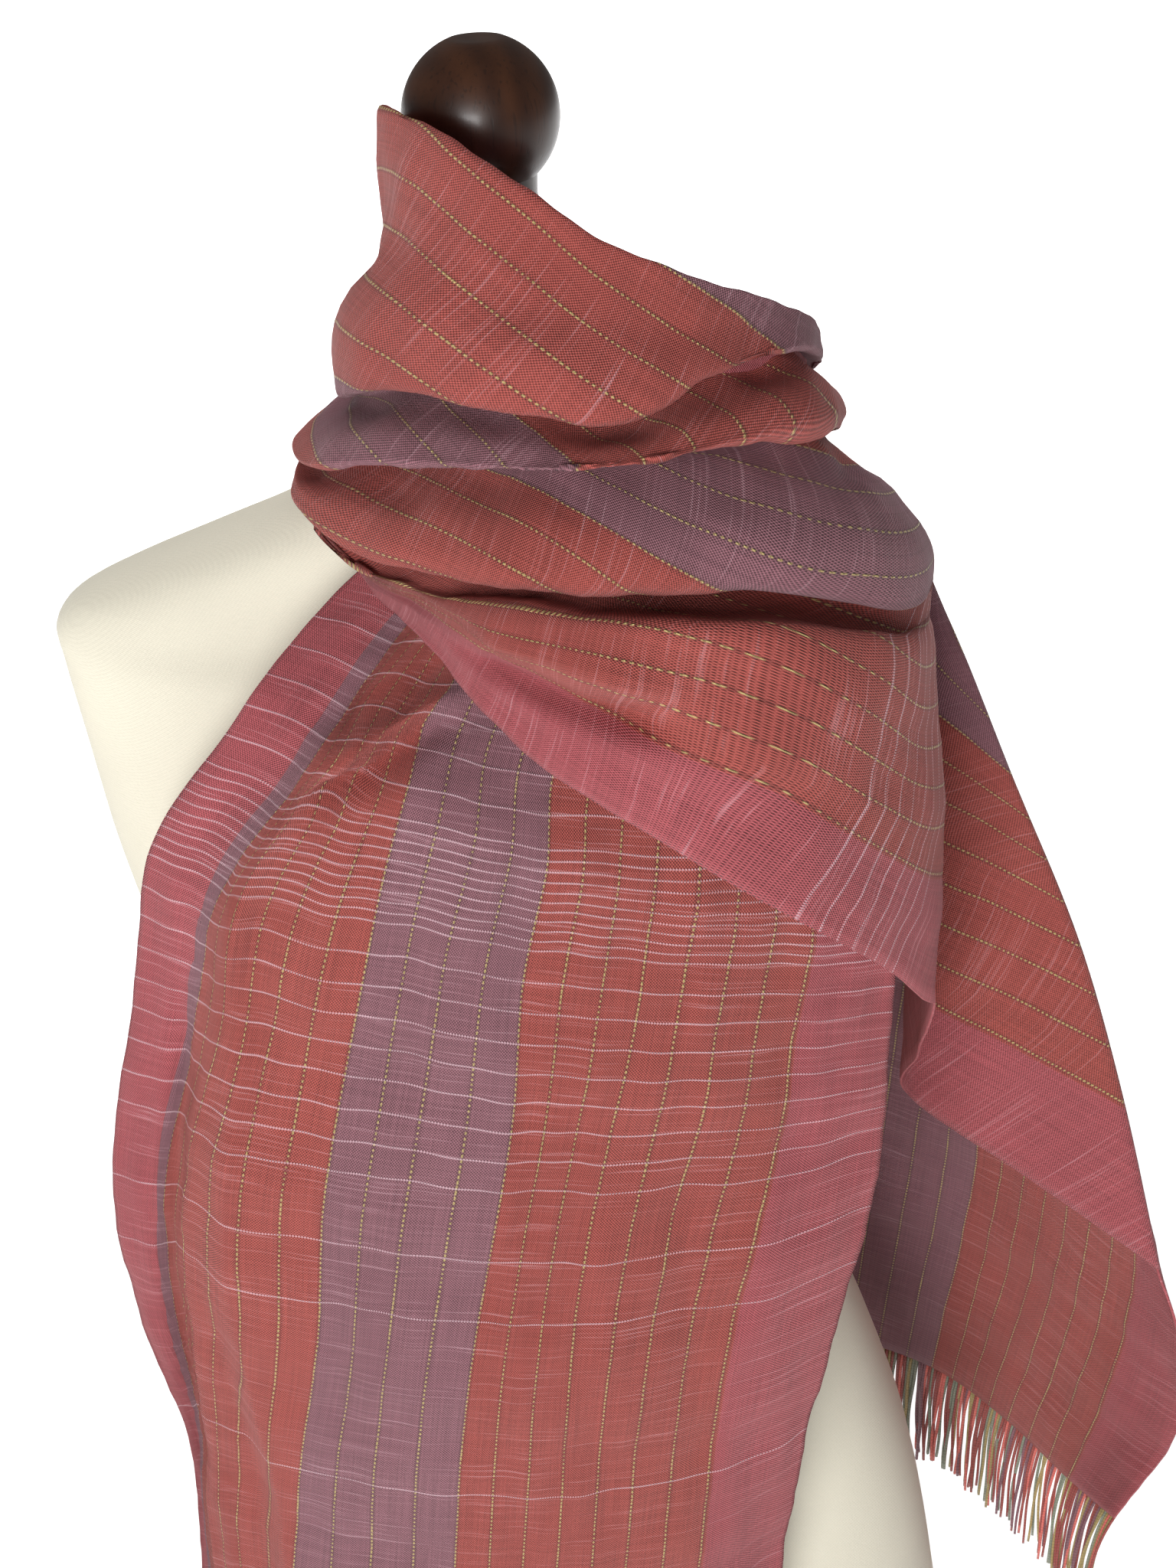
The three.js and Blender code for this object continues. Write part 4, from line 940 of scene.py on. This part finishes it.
class SCARF_OT_stage(bpy.types.Operator):
    """Adds the camera, the lights and the pale floor"""

    bl_idname = "scarf.stage"
    bl_label = "Stage"

    def execute(self, context):
        camera = bpy.data.cameras.new("camera")
        camera.lens, camera.sensor_width = 52, 36
        camera.clip_end = 60
        eye = bpy.data.objects.new("camera", camera)
        place, tilt, roll = (0.0291, -0.8926, 1.2015), math.radians(60.6), math.radians(-2.75)
        turn = Matrix.Rotation(tilt, 4, "X") @ Matrix.Rotation(roll, 4, "Z")
        eye.matrix_world = Matrix.Translation(place) @ turn
        context.collection.objects.link(eye)
        context.scene.camera = eye

        def softbox(name, place, aim, size, power, glints=True):
            lamp = bpy.data.lights.new(name, "AREA")
            lamp.shape, lamp.size, lamp.size_y, lamp.energy = "RECTANGLE", *size, power
            obj = bpy.data.objects.new(name, lamp)
            obj.location = place
            obj.rotation_euler = (Vector(aim) - Vector(place)).to_track_quat("-Z", "Y").to_euler()
            obj.visible_glossy = glints
            context.collection.objects.link(obj)

        sizes = context.scene.scarf_sizes
        softbox("key_light", (-0.6, -2.35, 1.05), (0.02, 0, 0.78), (1.1, 0.9), sizes.key)
        softbox("floor_light", (0, 4, 3.4), (0, 4.4, 0), (7, 4), sizes.key * 8.5, False)
        world = bpy.data.worlds.new("room")
        world.use_nodes = True
        sky = world.node_tree.nodes["Background"].inputs
        sky["Color"].default_value, sky["Strength"].default_value = (1, 0.99, 0.97, 1), sizes.room
        context.scene.world = world
        context.scene.view_settings.view_transform = "Standard"

        choose_none()
        bpy.ops.mesh.primitive_grid_add(x_subdivisions=8, y_subdivisions=8, size=24)
        floor = context.object
        floor.name = floor.data.name = "floor"
        floor.data.materials.append(floor_finish(context.scene.scarf_colours))
        return {"FINISHED"}


def silk(context):
    """The woven silk, made once for both sheets."""
    return bpy.data.materials.get("woven_silk") or silk_finish(context.scene.scarf_colours)


def yarn(context):
    """The fringe yarn, made once for both fringes."""
    return bpy.data.materials.get("fringe_yarn") or yarn_finish(context.scene.scarf_colours)


class SCARF_OT_front_tail(bpy.types.Operator):
    """Adds the tail that hangs over the form's chest, with its fringe"""

    bl_idname = "scarf.front_tail"
    bl_label = "Front tail"

    def execute(self, context):
        sizes = context.scene.scarf_sizes
        points, weave = front_tail_sheet()
        cloth = sheet_object("front_tail_cloth", points, weave, 1, sizes.wall)
        finished(cloth, silk(context), "scarf_silk", "front_tail")
        yarns = strands("fringe_front_yarns", points[-1], points[-2], sizes, yarn(context))
        cloth_facts(points, weave)
        return {"FINISHED"}


class SCARF_OT_wound_cloth(bpy.types.Operator):
    """Adds the cloth round the neck, over the shoulder and down the back, with its fringe"""

    bl_idname = "scarf.wound_cloth"
    bl_label = "Wound cloth"

    def execute(self, context):
        sizes = context.scene.scarf_sizes
        points, weave = wound_sheet()
        front_tail_end = front_tail_sheet()[1][0, :, 0].max()
        weave = weave + np.array([front_tail_end - weave[0, :, 0].min(), 0])
        cloth = sheet_object("wound_cloth", points, weave, -1, sizes.wall)
        finished(cloth, silk(context), "scarf_silk", "nape", "front_wrap", "rear_panel", "rear_tail")
        yarns = strands("fringe_rear_yarns", points[-1], points[-2], sizes, yarn(context))
        cloth_facts(points, weave)
        return {"FINISHED"}


class SCARF_OT_form(bpy.types.Operator):
    """Adds the limbless form in its jersey cover"""

    bl_idname = "scarf.form"
    bl_label = "Dress form"

    def execute(self, context):
        body = form_body()
        finished(body, jersey_finish(context.scene.scarf_colours), "jersey", "form")
        return {"FINISHED"}


class SCARF_OT_stand(bpy.types.Operator):
    """Adds the turned base, pole, neck cap and finial"""

    bl_idname = "scarf.stand"
    bl_label = "Stand"

    def execute(self, context):
        wood = wood_finish(context.scene.scarf_colours)
        choose_none()

        def piece(node, *profile, steps=96):
            finished(turned("turned_" + node, profile, steps), wood, "stained_wood", node)

        edge, ball = arc(138, 10, 12, 90, 0, 9), arc(0, 998, 31, 180 - 42.6, 21, 28)
        foot = [*arc(31, 927, 2, 180, 90, 4), *arc(30, 938, 3, 90, 30, 5)]
        piece("base", (0, 0), (147, 0), (150, 1.5), *edge, (60, 22), (56, 22), (0, 22))
        piece("pole", (0, 22.3), (12.5, 22.3), (12.5, 159.7), (0, 159.7), steps=48)
        piece("neck_cap", (0, 905.3), (44, 905.3), (45, 906.3), *arc(39, 918.7, 6, 90, 0, 7), (0, 924.7))
        piece("finial", (0, 925), (31, 925), *foot, (27, 946), (24, 951), (22, 957), (21, 963), (20.6, 968),
              *ball, (8, 1027), (0, 1027), steps=128)
        return {"FINISHED"}


class SCARF_PT_panel(bpy.types.Panel):
    """Lists the pieces of the scarf and its settings"""

    bl_label = "Silk Scarf"
    bl_idname = "SCARF_PT_panel"
    bl_space_type = "VIEW_3D"
    bl_region_type = "UI"
    bl_category = "Scarf"

    def draw(self, context):
        for piece in PIECES:
            self.layout.operator(piece.bl_idname)
        for group in (context.scene.scarf_sizes, context.scene.scarf_colours):
            for name in group.bl_rna.properties.keys():
                if name not in ("rna_type", "name"):
                    self.layout.prop(group, name)


PIECES = (SCARF_OT_stage, SCARF_OT_form, SCARF_OT_stand, SCARF_OT_front_tail, SCARF_OT_wound_cloth)
CLASSES = (ScarfColours, ScarfSizes, *PIECES, SCARF_PT_panel)


def register():
    for made in CLASSES:
        bpy.utils.register_class(made)
    bpy.types.Scene.scarf_colours = bpy.props.PointerProperty(type=ScarfColours)
    bpy.types.Scene.scarf_sizes = bpy.props.PointerProperty(type=ScarfSizes)


def unregister():
    del bpy.types.Scene.scarf_sizes
    del bpy.types.Scene.scarf_colours
    for made in reversed(CLASSES):
        bpy.utils.unregister_class(made)


def main():
    register()
    bpy.ops.scarf.stage()
    bpy.ops.scarf.form()
    bpy.ops.scarf.stand()
    bpy.ops.scarf.front_tail()
    bpy.ops.scarf.wound_cloth()


if __name__ == "__main__":
    main()
